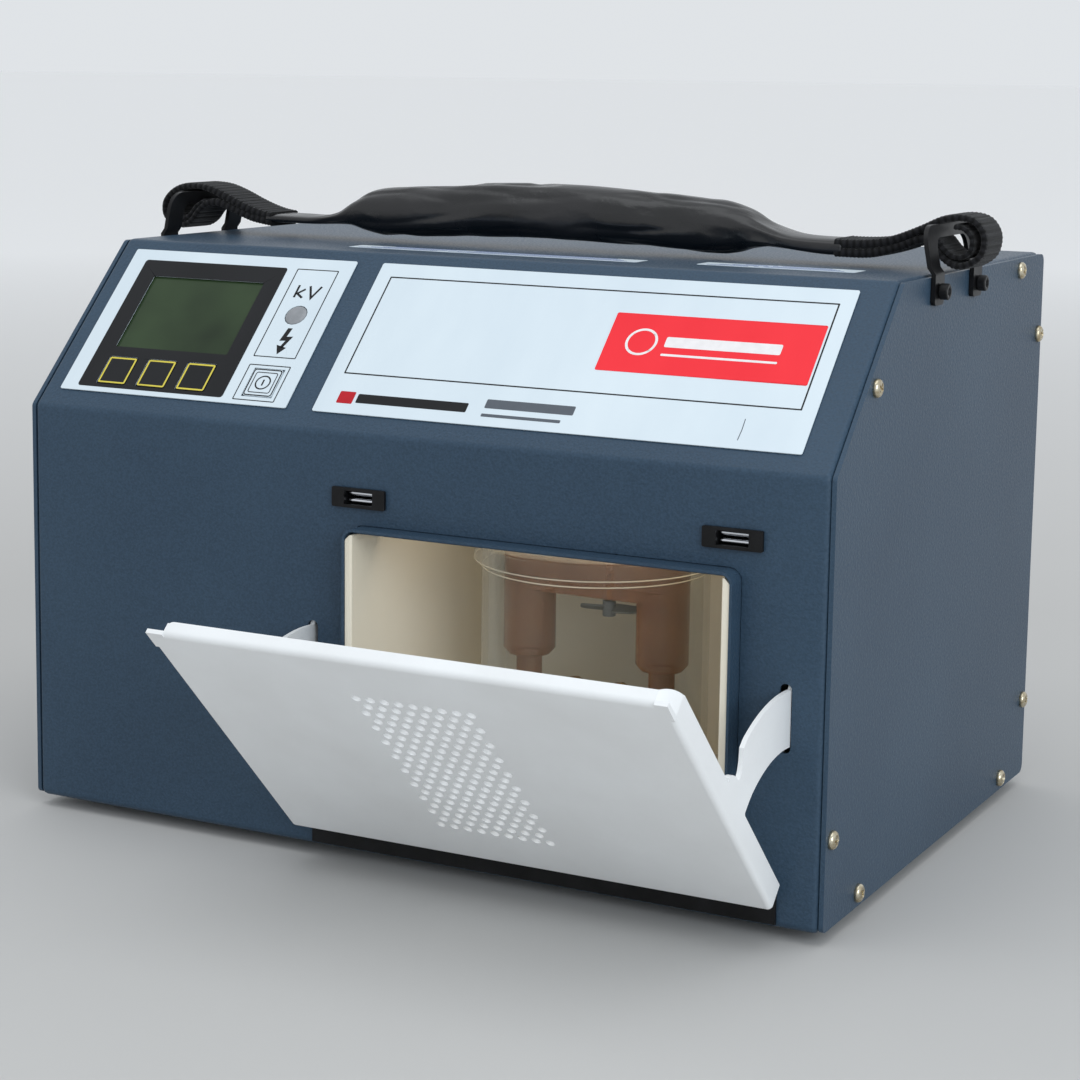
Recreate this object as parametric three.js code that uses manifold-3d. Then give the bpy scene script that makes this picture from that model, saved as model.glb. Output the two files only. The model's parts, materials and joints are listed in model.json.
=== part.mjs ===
// Portable insulating-oil dielectric test set, in millimetres, +Z up.
//
// Case frame used by every number below: x = 0 on the middle of the case, +x to the operator's
// right; y = 0 on the front panel, +y to the back; z = 0 on the underside of the base sheet.
// At the end the whole assembly is shifted so that its origin is the bottom centre of its box.

import * as THREE from 'three';
import { mergeVertices } from 'three/addons/utils/BufferGeometryUtils.js';
import Module from 'manifold-3d';

const wasm = await Module();
wasm.setup();

// ---------------------------------------------------------------- driving dimensions

const GAP = 0.3;                     // air left between pieces that rest on each other
const CASE = { width: 400, depth: 277, height: 261.4, frontHeight: 188.4 };
const SHEET = 1.5;                   // folded case sheet
const SIDE_SHEET = 2;                // flat side panels
const FLANGE = 14;                   // width of the case's inward flanges
const BEND = 4;                      // outside radius of the folds across the case
const REAR_BEND = 5;
const FOLD_STEPS = 6;                // facets to one fold
const FOOT = { radius: 10, height: 5, x: 165, front: 35, rear: 242 };

const CHAMBER = { x: 68.5, width: 184.2, bottom: 23, top: 148, proud: 9.5, depth: 138 };
const COLLAR_SKIN = 1.2;
const COLLAR_RADIUS = 5.5;
const LINER_WALL = 3.5;
const LINER_TOP = 176;
const ROOF_UNDERSIDE = LINER_TOP - LINER_WALL;
const CHEST_FRONT = 14.4;             // the liner is taller behind the door catches

const HINGE = { y: -5, z: 16.2, knuckle: 2.2, bore: 1.3, pin: 1.1 };
const DOOR = { width: 230, bottom: 18.6, top: 172, front: -14, rear: -2.5, sheet: 2 };
const DOOR_TOP_REAR = -7.4;          // the flange along the top edge is narrower
const DOOR_OPEN = 44.5;              // degrees from closed, where the arms meet their stop
const ARM = { inner: 61, outer: 84.6, hook: 90, tail: 56, hookStart: 49.3 };
const ARM_SLOT = { width: 5.5, bottom: 74, top: 103, x: [-44.4, 181.2] };

const CATCH = { x: [-20.1, 156.75], z: 160.25, width: 26.8, height: 8.8, rollerY: 2.6 };
const ROLLER = { radius: 1.2, pitch: 3.4, length: 13 };

const OVERLAY = { x0: -188, x1: -63, v0: 9.8, v1: 96.4 };
const NAME_PLATE = { x0: -49.2, x1: 182.6, v0: 9.8, v1: 96.4 };
const LABEL_SHEET = 0.5;
const LCD = { x0: -170, x1: -107, v0: 36.4, v1: 80.4 };
const KEY = { size: 15.6, v: 22.6, firstX: -161.5, pitch: 22.05, top: 0.9, base: -3.2 };
const POWER_KEY_X = -80.8;
const LAMP = { x: -81.5, v: 62.5, radius: 5.4 };

const VESSEL = { x: 64, y: 64, radius: 51, wall: 3, base: 4, rim: 137.6, lidRadius: 54.5, lidTop: 142.5 };
const LID = { skirt: 131.5, plate: 138.9, skirtInner: 51.5 };
const PILLAR = { spacing: 66, radius: 11.9, bottom: 84.6, archTop: 115.9, shank: 5.9 };
const ELECTRODE = { z: 58, gap: 2.5, headRadius: 18, headDepth: 11, stem: 3 };
const STIRRER = { y: 78, shaft: 1.75, blades: 110, couplingTop: 176 };

const STRAP_Y = 138.5;               // middle of the carrying strap, front to back
const WEBBING = 25;
const BRACKET = { legs: 52.7, legWidth: 12, bottom: 248.5, top: 282.5, bar: 5.6, sheet: 2 };
const BRACKET_SCREW = { z: 254.5, head: 3.5, headHeight: 4, shank: 1.9, length: 8 };
const GRIP = { left: -154, right: 152, width: 28 };

// ---------------------------------------------------------------- materials

function finish(color, roughness, metalness = 0, opacity = 1) {
  const transparent = opacity < 1;
  return new THREE.MeshStandardMaterial({ color, roughness, metalness, opacity, transparent });
}

const LOOK = {
  case: () => finish(0x3e4e5e, 0.5, 0.1),
  cream: () => finish(0xd8d4c4, 0.45),
  white: () => finish(0xe9eef0, 0.4, 0.1),
  black: () => finish(0x101112, 0.45, 0.2),
  rubber: () => finish(0x17181a, 0.85),
  label: () => finish(0xdde8ee, 0.35),
  key: () => finish(0x2a2c2e, 0.5),
  display: () => finish(0x3e4e37, 0.15),
  lens: () => finish(0x8d9294, 0.15, 0, 0.6),
  chrome: () => finish(0xc9ccce, 0.15, 1),
  steel: () => finish(0x8f9396, 0.35, 1),
  brass: () => finish(0xc79a4b, 0.3, 1),
  clear: () => finish(0xe6ecea, 0.05, 0, 0.25),
  amber: () => finish(0x6b4a3c, 0.25, 0, 0.7),
  grey: () => finish(0x6d716f, 0.5),
  resin: () => finish(0x4a3026, 0.4),
  board: () => finish(0x1f4a34, 0.5),
  potting: () => finish(0x2c2a28, 0.6),
  webbing: () => finish(0x0c0c0d, 0.9),
  shrink: () => finish(0x19191b, 0.35),
};

// ---------------------------------------------------------------- solids

function toSolid(geometry) {
  const plain = geometry.clone();
  plain.deleteAttribute('normal');
  plain.deleteAttribute('uv');
  const merged = mergeVertices(plain, 1e-4);
  const vertProperties = new Float32Array(merged.attributes.position.array);
  const triVerts = new Uint32Array(merged.index.array);
  return new wasm.Manifold(new wasm.Mesh({ numProp: 3, vertProperties, triVerts }));
}

function fromSolid(solid) {
  const mesh = solid.getMesh();
  const geometry = new THREE.BufferGeometry();
  geometry.setAttribute('position', new THREE.BufferAttribute(mesh.vertProperties, 3));
  geometry.setIndex(new THREE.BufferAttribute(mesh.triVerts, 1));
  return geometry;
}

const cut = (base, ...tools) => fromSolid(tools.reduce((s, t) => s.subtract(toSolid(t)), toSolid(base)));
const join = (base, ...more) => fromSolid(more.reduce((s, t) => s.add(toSolid(t)), toSolid(base)));
const common = (base, tool) => fromSolid(toSolid(base).intersect(toSolid(tool)));

function box(x0, x1, y0, y1, z0, z1) {
  const geometry = new THREE.BoxGeometry(x1 - x0, y1 - y0, z1 - z0);
  return geometry.translate((x0 + x1) / 2, (y0 + y1) / 2, (z0 + z1) / 2);
}

const X = new THREE.Vector3(1, 0, 0);
const Y = new THREE.Vector3(0, 1, 0);
const Z = new THREE.Vector3(0, 0, 1);

// Extrude a shape along an axis. The shape's own (x, y) lie on (y, z), (x, z) or (x, y).
function extruded(shape, depth, segments, basis, shift, bevel) {
  const size = bevel ?? 0;
  const geometry = new THREE.ExtrudeGeometry(shape, {
    depth: depth - 2 * size,
    curveSegments: segments,
    bevelEnabled: size > 0,
    bevelSize: size,
    bevelThickness: size,
    bevelOffset: -size,
    bevelSegments: 3,
  });
  geometry.translate(0, 0, size);
  const matrix = new THREE.Matrix4().makeBasis(...basis);
  return geometry.applyMatrix4(matrix).translate(...shift);
}

function alongX(shape, x0, x1, segments = 2, bevel = 0) {
  return extruded(shape, x1 - x0, segments, [Y, Z, X], [x0, 0, 0], bevel);
}

function alongY(shape, y0, y1, segments = 2, bevel = 0) {
  return extruded(shape, y1 - y0, segments, [X, Z, Y.clone().negate()], [0, y1, 0], bevel);
}

function alongZ(shape, z0, z1, segments = 2, bevel = 0) {
  return extruded(shape, z1 - z0, segments, [X, Y, Z], [0, 0, z0], bevel);
}

function disc(x, y, radius) {
  return new THREE.Shape().absarc(x, y, radius, 0, Math.PI * 2);
}

// A closed outline through corners [x, y, radius], each rounded by its own radius.
function filleted(corners) {
  const shape = new THREE.Shape();
  const count = corners.length;
  const point = (i) => new THREE.Vector2(corners[(i + count) % count][0], corners[(i + count) % count][1]);
  corners.forEach((corner, i) => {
    const radius = corner[2];
    const here = point(i);
    const back = point(i - 1).sub(here).normalize();
    const ahead = point(i + 1).sub(here).normalize();
    const half = Math.acos(back.dot(ahead)) / 2;
    const reach = radius / Math.tan(half);
    const start = here.clone().addScaledVector(back, reach);
    const end = here.clone().addScaledVector(ahead, reach);
    const inward = back.clone().add(ahead).normalize();
    const middle = here.clone().addScaledVector(inward, radius / Math.sin(half));
    const from = start.sub(middle).angle();
    const to = end.sub(middle).angle();
    shape.absarc(middle.x, middle.y, radius, from, to, back.cross(ahead) > 0);
  });
  return shape;
}

function roundedRect(x0, x1, y0, y1, radius) {
  return filleted([[x0, y0, radius], [x1, y0, radius], [x1, y1, radius], [x0, y1, radius]]);
}

// The same outline moved inwards by a wall thickness; its corners run anticlockwise.
function inset(corners, wall) {
  const count = corners.length;
  return corners.map(([x, y, radius], i) => {
    const here = new THREE.Vector2(x, y);
    const previous = corners[(i + count - 1) % count];
    const next = corners[(i + 1) % count];
    const along = here.clone().sub(new THREE.Vector2(previous[0], previous[1])).normalize();
    const onward = new THREE.Vector2(next[0], next[1]).sub(here).normalize();
    const inwardA = new THREE.Vector2(-along.y, along.x);
    const inwardB = new THREE.Vector2(-onward.y, onward.x);
    const reach = wall / (1 + inwardA.dot(inwardB));
    const moved = here.addScaledVector(inwardA, reach).addScaledVector(inwardB, reach);
    return [moved.x, moved.y, Math.max(radius - wall, 0.4)];
  });
}

// A ring sector about the x axis, angles in degrees from straight up towards +y.
function sector(inner, outer, from, to, x0, x1, segments = 6) {
  const start = Math.PI / 2 - THREE.MathUtils.degToRad(to);
  const end = Math.PI / 2 - THREE.MathUtils.degToRad(from);
  const shape = new THREE.Shape();
  shape.absarc(0, 0, outer, start, end, false);
  shape.absarc(0, 0, inner, end, start, true);
  return alongX(shape, x0, x1, segments);
}

// ---------------------------------------------------------------- assembly tree

const assembly = new THREE.Group();
const slope = new THREE.Group();
slope.position.set(0, 0, CASE.frontHeight);
slope.rotation.x = Math.PI / 4;
assembly.add(slope);

const door = new THREE.Group();
door.position.set(0, HINGE.y, HINGE.z);
door.rotation.x = THREE.MathUtils.degToRad(DOOR_OPEN);
assembly.add(door);

function add(name, geometry, look, parent = assembly) {
  const mesh = new THREE.Mesh(geometry, look());
  mesh.name = name;
  parent.add(mesh);
  return mesh;
}

slope.updateMatrix();
const onSlope = (geometry) => geometry.applyMatrix4(slope.matrix);

// ---------------------------------------------------------------- folded case

const PROFILE = [
  [0, 0, 3.5],
  [CASE.depth, 0, REAR_BEND],
  [CASE.depth, CASE.height, REAR_BEND],
  [CASE.height - CASE.frontHeight, CASE.height, BEND],
  [0, CASE.frontHeight, BEND],
];
const WRAP_X = CASE.width / 2 - SIDE_SHEET - GAP;
const screwLegs = [STRAP_Y - BRACKET.legs / 2, STRAP_Y + BRACKET.legs / 2];

function bracketHoles(x0, x1) {
  return screwLegs.map((y) => alongX(disc(y, BRACKET_SCREW.z, BRACKET_SCREW.shank + GAP), x0, x1, 6));
}
const SEAM_Z = FLANGE;
const REAR_Z = CASE.height - FLANGE + 2;

function caseShell() {
  const outer = alongX(filleted(PROFILE), -WRAP_X, WRAP_X, FOLD_STEPS, 2.5);
  const cavity = alongX(filleted(inset(PROFILE, SHEET)), SHEET - WRAP_X, WRAP_X - SHEET, FOLD_STEPS);
  const sideWindows = alongX(filleted(inset(PROFILE, FLANGE)), -CASE.width, CASE.width);
  return cut(outer, cavity, sideWindows);
}

function catchCutouts() {
  const half = { x: 8.7, z: 4.3 };
  return CATCH.x.map((x) => box(x - half.x, x + half.x, -1, 3, CATCH.z - half.z, CATCH.z + half.z));
}

function keyCentres() {
  const soft = [0, 1, 2].map((i) => KEY.firstX + i * KEY.pitch);
  return [...soft, POWER_KEY_X];
}

function keyHoles(low, high) {
  const half = KEY.size / 2 + 0.4;
  return keyCentres().map((x) => box(x - half, x + half, KEY.v - half, KEY.v + half, low, high));
}

function slopeCutouts() {
  const margin = 2;
  const display = box(LCD.x0 - margin, LCD.x1 + margin, LCD.v0 - margin, LCD.v1 + margin, -3, 3);
  const lamp = alongZ(disc(LAMP.x, LAMP.v, LAMP.radius + 0.4), -3, 3, 6);
  return [display, lamp, ...keyHoles(-3, 3)].map(onSlope);
}

function frontCover(shell) {
  const clear = 0.3;
  const half = CHAMBER.width / 2 + clear;
  const mouth = roundedRect(
    CHAMBER.x - half, CHAMBER.x + half, CHAMBER.bottom - clear, CHAMBER.top + clear, COLLAR_RADIUS);
  const slots = ARM_SLOT.x.map((x) => {
    const w = ARM_SLOT.width / 2;
    return alongY(roundedRect(x - w, x + w, ARM_SLOT.bottom, ARM_SLOT.top, w - 0.05), -1, 3);
  });
  const below = box(-CASE.width, CASE.width, FLANGE + GAP, CASE.depth + 1, -1, SEAM_Z + GAP);
  const behind = box(-CASE.width, CASE.width, CASE.depth - FLANGE - GAP, CASE.depth + 1, -1, REAR_Z);
  const panel = [alongY(mouth, -1, 3), ...slots, ...catchCutouts(), ...slopeCutouts()];
  return cut(shell, below, behind, ...panel, ...bracketHoles(-CASE.width, CASE.width));
}

const VENTS = { count: 9, pitch: 9, width: 3.4, x: 60, bottom: 150, top: 215 };
const INLET = { x: -130, z: 50, w: 27.4, h: 20, flangeW: 50, flangeH: 24, depth: 22 };
const EARTH = { x: -70, z: 42, radius: 3 };

function rearPanel(shell) {
  const piece = common(
    shell, box(-CASE.width, CASE.width, CASE.depth - FLANGE, CASE.depth + 1, SEAM_Z + GAP, REAR_Z - GAP));
  const vents = [-1, 1].flatMap((side) => Array.from({ length: VENTS.count }, (_, i) => {
    const x = side * (VENTS.x + i * VENTS.pitch);
    const half = VENTS.width / 2;
    return box(x - half, x + half, CASE.depth - 3, CASE.depth + 1, VENTS.bottom, VENTS.top);
  }));
  const half = { w: INLET.w / 2 + 0.3, h: INLET.h / 2 + 0.3 };
  const inlet = box(
    INLET.x - half.w, INLET.x + half.w, CASE.depth - 3, CASE.depth + 1, INLET.z - half.h, INLET.z + half.h);
  const earth = alongY(disc(EARTH.x, EARTH.z, EARTH.radius + 0.3), CASE.depth - 3, CASE.depth + 1, 6);
  return cut(piece, inlet, earth, ...vents);
}

function basePlate(shell) {
  return common(shell, box(-CASE.width, CASE.width, FLANGE + 2 * GAP, CASE.depth + 1, -1, SEAM_Z));
}

const shell = caseShell();
add('front_cover', frontCover(shell), LOOK.case);
add('rear_panel', rearPanel(shell), LOOK.case);
add('base_plate', basePlate(shell), LOOK.case);

const SIDE_INSET = 0.8;
for (const [name, side] of [['side_panel_left', -1], ['side_panel_right', 1]]) {
  const middle = side * (CASE.width - SIDE_SHEET) / 2;
  const x0 = middle - SIDE_SHEET / 2;
  const x1 = middle + SIDE_SHEET / 2;
  const sheet = alongX(filleted(inset(PROFILE, SIDE_INSET)), x0, x1, FOLD_STEPS);
  add(name, cut(sheet, ...bracketHoles(x0 - 1, x1 + 1)), LOOK.case);
}

let footCount = 0;
for (const y of [FOOT.front, FOOT.rear]) {
  for (const x of [-FOOT.x, FOOT.x]) {
    footCount += 1;
    const foot = new THREE.CylinderGeometry(FOOT.radius, FOOT.radius - 1, FOOT.height, 20);
    foot.rotateX(Math.PI / 2).translate(0, 0, -FOOT.height / 2 - GAP);
    add(`foot_${footCount}`, foot, LOOK.rubber).position.set(x, y, 0);
  }
}

// ---------------------------------------------------------------- test chamber

const COLLAR = {
  x0: CHAMBER.x - CHAMBER.width / 2,
  x1: CHAMBER.x + CHAMBER.width / 2,
};
const LINER_GAP = COLLAR_SKIN + GAP;

function chamberCollar() {
  const outline = (grow, radius) => roundedRect(
    COLLAR.x0 - grow, COLLAR.x1 + grow, CHAMBER.bottom - grow, CHAMBER.top + grow, radius);
  const skin = alongY(outline(0, COLLAR_RADIUS), -CHAMBER.proud, 3.3, FOLD_STEPS);
  const lip = alongY(outline(3.5, COLLAR_RADIUS + 3), SHEET + GAP, 3.3, 3);
  const hole = alongY(outline(-COLLAR_SKIN, COLLAR_RADIUS - COLLAR_SKIN), -20, 20, FOLD_STEPS);
  return cut(join(skin, lip), hole);
}

const LINER = {
  x0: COLLAR.x0 + LINER_GAP,
  x1: COLLAR.x1 - LINER_GAP,
  z0: CHAMBER.bottom + LINER_GAP,
  neckTop: CHAMBER.top - LINER_GAP,
  step: 0.7,                         // the chest is this much wider outside than the neck
};

// A tub with an open top: the neck reaches forward through the collar to the mouth.
function chamberLiner() {
  const { x0, x1, z0, neckTop, step } = LINER;
  const wall = LINER_WALL;
  const back = CHAMBER.depth - wall;
  const neckShape = roundedRect(x0, x1, z0, neckTop, COLLAR_RADIUS - LINER_GAP);
  const neck = alongY(neckShape, -CHAMBER.proud + 0.5, CHEST_FRONT + 2, FOLD_STEPS);
  const chest = box(x0 - step, x1 + step, CHEST_FRONT, CHAMBER.depth, z0 - step, ROOF_UNDERSIDE - GAP);
  const mouth = alongY(roundedRect(x0 + wall, x1 - wall, z0 + wall, neckTop - wall, 1.5), -20, back);
  const room = box(
    x0 + wall + step, x1 - wall - step, CHEST_FRONT + wall, back - step, z0 + 3 * wall, LINER_TOP);
  return cut(join(neck, chest), mouth, room);
}

// The plate that closes the tub and carries the stirrer motor and the two bushings.
function chamberRoof() {
  const { x0, x1, step } = LINER;
  const plate = box(x0 - step, x1 + step, CHEST_FRONT, CHAMBER.depth, ROOF_UNDERSIDE, LINER_TOP);
  const drive = alongZ(disc(VESSEL.x, STIRRER.y, 4.5), LINER_TOP - 10, LINER_TOP + 10, 6);
  const ports = [-1, 1].map((side) => alongZ(
    disc(VESSEL.x + side * PILLAR.spacing / 2, VESSEL.y, 8.4), LINER_TOP - 10, LINER_TOP + 10, 8));
  return cut(plate, drive, ...ports);
}

const FLOOR_Z = CHAMBER.bottom + LINER_GAP + LINER_WALL;
add('chamber_collar', chamberCollar(), LOOK.case);
add('chamber_liner', chamberLiner(), LOOK.cream);
add('chamber_roof', chamberRoof(), LOOK.cream);

function lathe(points, segments, x, y) {
  const profile = points.map(([r, z]) => new THREE.Vector2(r, z));
  const geometry = new THREE.LatheGeometry(profile, segments);
  return geometry.rotateX(Math.PI / 2).translate(x, y, 0);
}

const jarBottom = FLOOR_Z + GAP;
const bore = VESSEL.radius - VESSEL.wall;
add('vessel_jar', lathe([
  [0, jarBottom], [VESSEL.radius, jarBottom], [VESSEL.radius, VESSEL.rim],
  [bore, VESSEL.rim], [bore, jarBottom + VESSEL.base], [0, jarBottom + VESSEL.base],
], 40, VESSEL.x, VESSEL.y), LOOK.clear);

const lidDisc = lathe([
  [0, LID.plate], [LID.skirtInner, LID.plate], [LID.skirtInner, LID.skirt],
  [VESSEL.lidRadius, LID.skirt], [VESSEL.lidRadius, VESSEL.lidTop], [0, VESSEL.lidTop],
], 40, VESSEL.x, VESSEL.y);
const shaftHole = alongZ(disc(VESSEL.x, STIRRER.y, STIRRER.shaft + 0.6), 130, 150, 6);
add('vessel_lid', cut(lidDisc, shaftHole), LOOK.clear);

const pillarX = [-1, 1].map((side) => VESSEL.x + side * PILLAR.spacing / 2);

function electrodeHolder() {
  const top = LID.plate - GAP;
  const half = PILLAR.spacing / 2;
  const beam = box(
    VESSEL.x - half, VESSEL.x + half, VESSEL.y - 11, VESSEL.y + 11, PILLAR.archTop, top);
  const pillars = pillarX.map((x) => lathe([
    [0, ELECTRODE.z - 9], [PILLAR.shank, ELECTRODE.z - 9], [PILLAR.shank, PILLAR.bottom],
    [PILLAR.radius - 2.5, PILLAR.bottom], [PILLAR.radius, PILLAR.bottom + 3],
    [PILLAR.radius, top], [0, top],
  ], 20, x, VESSEL.y));
  const sockets = alongX(
    disc(VESSEL.y, ELECTRODE.z, ELECTRODE.stem + 0.3), pillarX[0] - 4.5, pillarX[1] + 4.5, 6);
  return cut(join(beam, ...pillars), sockets);
}

add('electrode_holder', electrodeHolder(), LOOK.amber);

function electrode(side) {
  const face = ELECTRODE.gap / 2;
  const root = PILLAR.spacing / 2 - 4;
  const { headRadius, headDepth, stem } = ELECTRODE;
  const geometry = new THREE.LatheGeometry([
    [0, face], [8, face + 1.4], [14, face + 4.6], [headRadius, face + 9], [headRadius, face + headDepth],
    [stem, face + headDepth], [stem, root], [0, root],
  ].map((p) => new THREE.Vector2(...p)), 20);
  geometry.rotateZ(-side * Math.PI / 2);
  return geometry.translate(VESSEL.x, VESSEL.y, ELECTRODE.z);
}

add('electrode_left', electrode(-1), LOOK.brass);
add('electrode_right', electrode(1), LOOK.brass);

const shaftLength = LID.plate + 7 - STIRRER.blades;
const shaft = new THREE.CylinderGeometry(STIRRER.shaft, STIRRER.shaft, shaftLength, 12);
shaft.rotateX(Math.PI / 2).translate(0, 0, STIRRER.blades + shaftLength / 2);
add('stirrer_shaft', shaft, LOOK.brass).position.set(VESSEL.x, STIRRER.y, 0);

function impeller() {
  const hubTop = STIRRER.blades - GAP;
  const hub = alongZ(disc(0, 0, 3), hubTop - 7, hubTop, 6);
  const blades = [0, Math.PI].map((turn) => {
    const outline = filleted([[1.5, -3, 0.5], [13.5, -2.2, 2], [13.5, 2.2, 2], [1.5, 3, 0.5]]);
    const blade = alongZ(outline, -0.5, 0.5);
    return blade.rotateX(0.5).translate(0, 0, hubTop - 3.5).rotateZ(turn + 0.15);
  });
  return join(hub, ...blades).translate(VESSEL.x, STIRRER.y, 0);
}

add('stirrer_impeller', impeller(), LOOK.grey);

function stirrerCoupling() {
  const bottom = LID.plate + 7 + GAP;
  const body = alongZ(disc(0, 0, 3.6), bottom + 3, STIRRER.couplingTop, 6);
  const dog = box(-3, 3, -0.9, 0.9, bottom, bottom + 4);
  return join(body, dog).translate(VESSEL.x, STIRRER.y, 0);
}

add('stirrer_coupling', stirrerCoupling(), LOOK.steel);

const motorBottom = LINER_TOP + GAP;
add('stirrer_motor', lathe([
  [0, motorBottom], [17, motorBottom], [17, motorBottom + 34], [6, motorBottom + 34],
  [6, motorBottom + 38], [0, motorBottom + 38],
], 24, VESSEL.x, STIRRER.y), LOOK.steel);

const bushingNames = ['hv_bushing_left', 'hv_bushing_right'];
bushingNames.forEach((name, i) => {
  const tip = VESSEL.lidTop + 1.2;
  add(name, lathe([
    [0, tip], [3, tip], [3, tip + 4], [8, tip + 8], [8, LINER_TOP + GAP], [10.5, LINER_TOP + GAP],
    [10.5, LINER_TOP + 4], [8, LINER_TOP + 4], [6, LINER_TOP + 26], [0, LINER_TOP + 26],
  ], 20, pillarX[i], VESSEL.y), LOOK.resin);
});

// ---------------------------------------------------------------- door, hinge and catches

const doorX = [CHAMBER.x - DOOR.width / 2, CHAMBER.x + DOOR.width / 2];
const fromHinge = (geometry) => geometry.translate(0, -HINGE.y, -HINGE.z);

function doorPanel() {
  const bodyDepth = 30;
  const outline = (by, radius) => roundedRect(
    doorX[0] + by, doorX[1] - by, DOOR.bottom + by, DOOR.top - by, radius);
  const block = alongY(outline(0, 4), DOOR.front, DOOR.front + bodyDepth, 3, 2.4);
  const hollow = alongY(outline(DOOR.sheet, 2), DOOR.front + DOOR.sheet, DOOR.front + bodyDepth + 5, 3);
  const behind = box(doorX[0] - 5, doorX[1] + 5, DOOR.rear, 60, 0, 300);
  const corner = 10;                 // height of the side flanges' cut-back top corners
  const relief = box(
    doorX[0] - 1, doorX[0] + 9, DOOR.front + DOOR.sheet + GAP, 0, DOOR.top - corner, DOOR.top + 1);
  const narrowing = box(
    doorX[0] - 1, doorX[1] + 1, DOOR_TOP_REAR, 0, DOOR.top - DOOR.sheet - 0.5, DOOR.top + 1);
  const slant = alongX(new THREE.Shape([
    new THREE.Vector2(DOOR_TOP_REAR, DOOR.top + 1),
    new THREE.Vector2(DOOR.rear + 0.5, DOOR.top - corner - 1),
    new THREE.Vector2(1, DOOR.top - corner - 1), new THREE.Vector2(1, DOOR.top + 1),
  ]), doorX[0] - 1, doorX[1] + 1);
  const tray = fromHinge(cut(block, hollow, behind, relief, narrowing, slant));
  const arms = [[doorX[0], doorX[0] + DOOR.sheet], [doorX[1] - DOOR.sheet, doorX[1]]].flatMap(([a, b]) => [
    sector(ARM.inner, ARM.outer, -1, ARM.tail, a, b),
    sector(ARM.outer - 1, ARM.hook, ARM.hookStart, ARM.tail, a, b, 2),
  ]);
  return join(tray, ...arms);
}

add('door_panel', doorPanel(), LOOK.white, door);

const STRIKE = { reach: 7, half: 5.5, thickness: 0.9 };

function doorStrike(x) {
  const dy = CATCH.rollerY - HINGE.y;
  const radius = Math.hypot(dy, CATCH.z - HINGE.z);
  const face = DOOR.front + DOOR.sheet + GAP;
  const angle = (y) => THREE.MathUtils.radToDeg(Math.asin((y - HINGE.y) / radius));
  const blade = sector(
    radius - STRIKE.thickness / 2, radius + STRIKE.thickness / 2, angle(face + 0.5), angle(STRIKE.reach),
    x - STRIKE.half, x + STRIKE.half, 3);
  const foot = fromHinge(box(
    x - STRIKE.half - 2, x + STRIKE.half + 2, face, face + 1, CATCH.z - 6, CATCH.z + 5));
  return join(blade, foot);
}

add('door_strike_left', doorStrike(CATCH.x[0]), LOOK.steel, door);
add('door_strike_right', doorStrike(CATCH.x[1]), LOOK.steel, door);

const LEAF = { x0: -43.5, x1: 180, bottom: 2, sheet: 1.3 };
const KNUCKLES = 5;                  // odd ones belong to the case, even ones to the door
const knuckleLength = (LEAF.x1 - LEAF.x0) / KNUCKLES;

function knuckleSpans(first) {
  const spans = [];
  for (let i = first; i < KNUCKLES; i += 2) {
    const start = LEAF.x0 + i * knuckleLength;
    spans.push([start + GAP / 2, start + knuckleLength - GAP / 2]);
  }
  return spans;
}

function knuckle(a, b, web) {
  const barrel = alongX(disc(HINGE.y, HINGE.z, HINGE.knuckle), a, b, 8);
  return join(barrel, web(a, b));
}

function fixedLeaf() {
  const webTop = HINGE.z - HINGE.knuckle + LEAF.sheet;
  const sheet = box(LEAF.x0, LEAF.x1, -GAP - LEAF.sheet, -GAP, LEAF.bottom, webTop);
  const knuckles = knuckleSpans(0).map(([a, b]) => knuckle(a, b, (p, q) => box(
    p, q, HINGE.y, -GAP, HINGE.z - HINGE.knuckle, webTop)));
  const hole = alongX(disc(HINGE.y, HINGE.z, HINGE.bore), LEAF.x0 - 5, LEAF.x1 + 5, 8);
  return cut(join(sheet, ...knuckles), hole);
}

function movingLeaf() {
  const under = DOOR.bottom - GAP;
  const sheet = box(
    LEAF.x0, LEAF.x1, DOOR.front + 2.6, HINGE.y - HINGE.knuckle - 0.4, under - LEAF.sheet, under);
  const knuckles = knuckleSpans(1).map(([a, b]) => knuckle(a, b, (p, q) => box(
    p, q, HINGE.y - HINGE.knuckle - 1, HINGE.y, under - LEAF.sheet, HINGE.z + HINGE.knuckle - 0.1)));
  const hole = alongX(disc(HINGE.y, HINGE.z, HINGE.bore), LEAF.x0 - 5, LEAF.x1 + 5, 8);
  return fromHinge(cut(join(sheet, ...knuckles), hole));
}

add('hinge_leaf_case', fixedLeaf(), LOOK.black);
add('hinge_leaf_door', movingLeaf(), LOOK.black, door);
const pinLength = LEAF.x1 - LEAF.x0;
const pin = new THREE.CylinderGeometry(HINGE.pin, HINGE.pin, pinLength, 16).rotateZ(Math.PI / 2);
add('hinge_pin', pin, LOOK.steel).position.set((LEAF.x0 + LEAF.x1) / 2, HINGE.y, HINGE.z);

function catchBody(x) {
  const half = CATCH.width / 2;
  const z = CATCH.z;
  const plate = alongY(
    roundedRect(x - half, x + half, z - CATCH.height / 2, z + CATCH.height / 2, 0.8), -GAP - SHEET, -GAP);
  const channel = box(x - 8.4, x + 8.4, -GAP - 0.5, 13, z - 4, z + 4);
  const window = box(x - 7.2, x + 7.2, -5, 2, z - 3, z + 3);
  const pocket = box(x - 7.2, x + 7.2, 0.6, 11.8, z - 3.6, z + 3.6);
  return cut(join(plate, channel), window, pocket);
}

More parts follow.
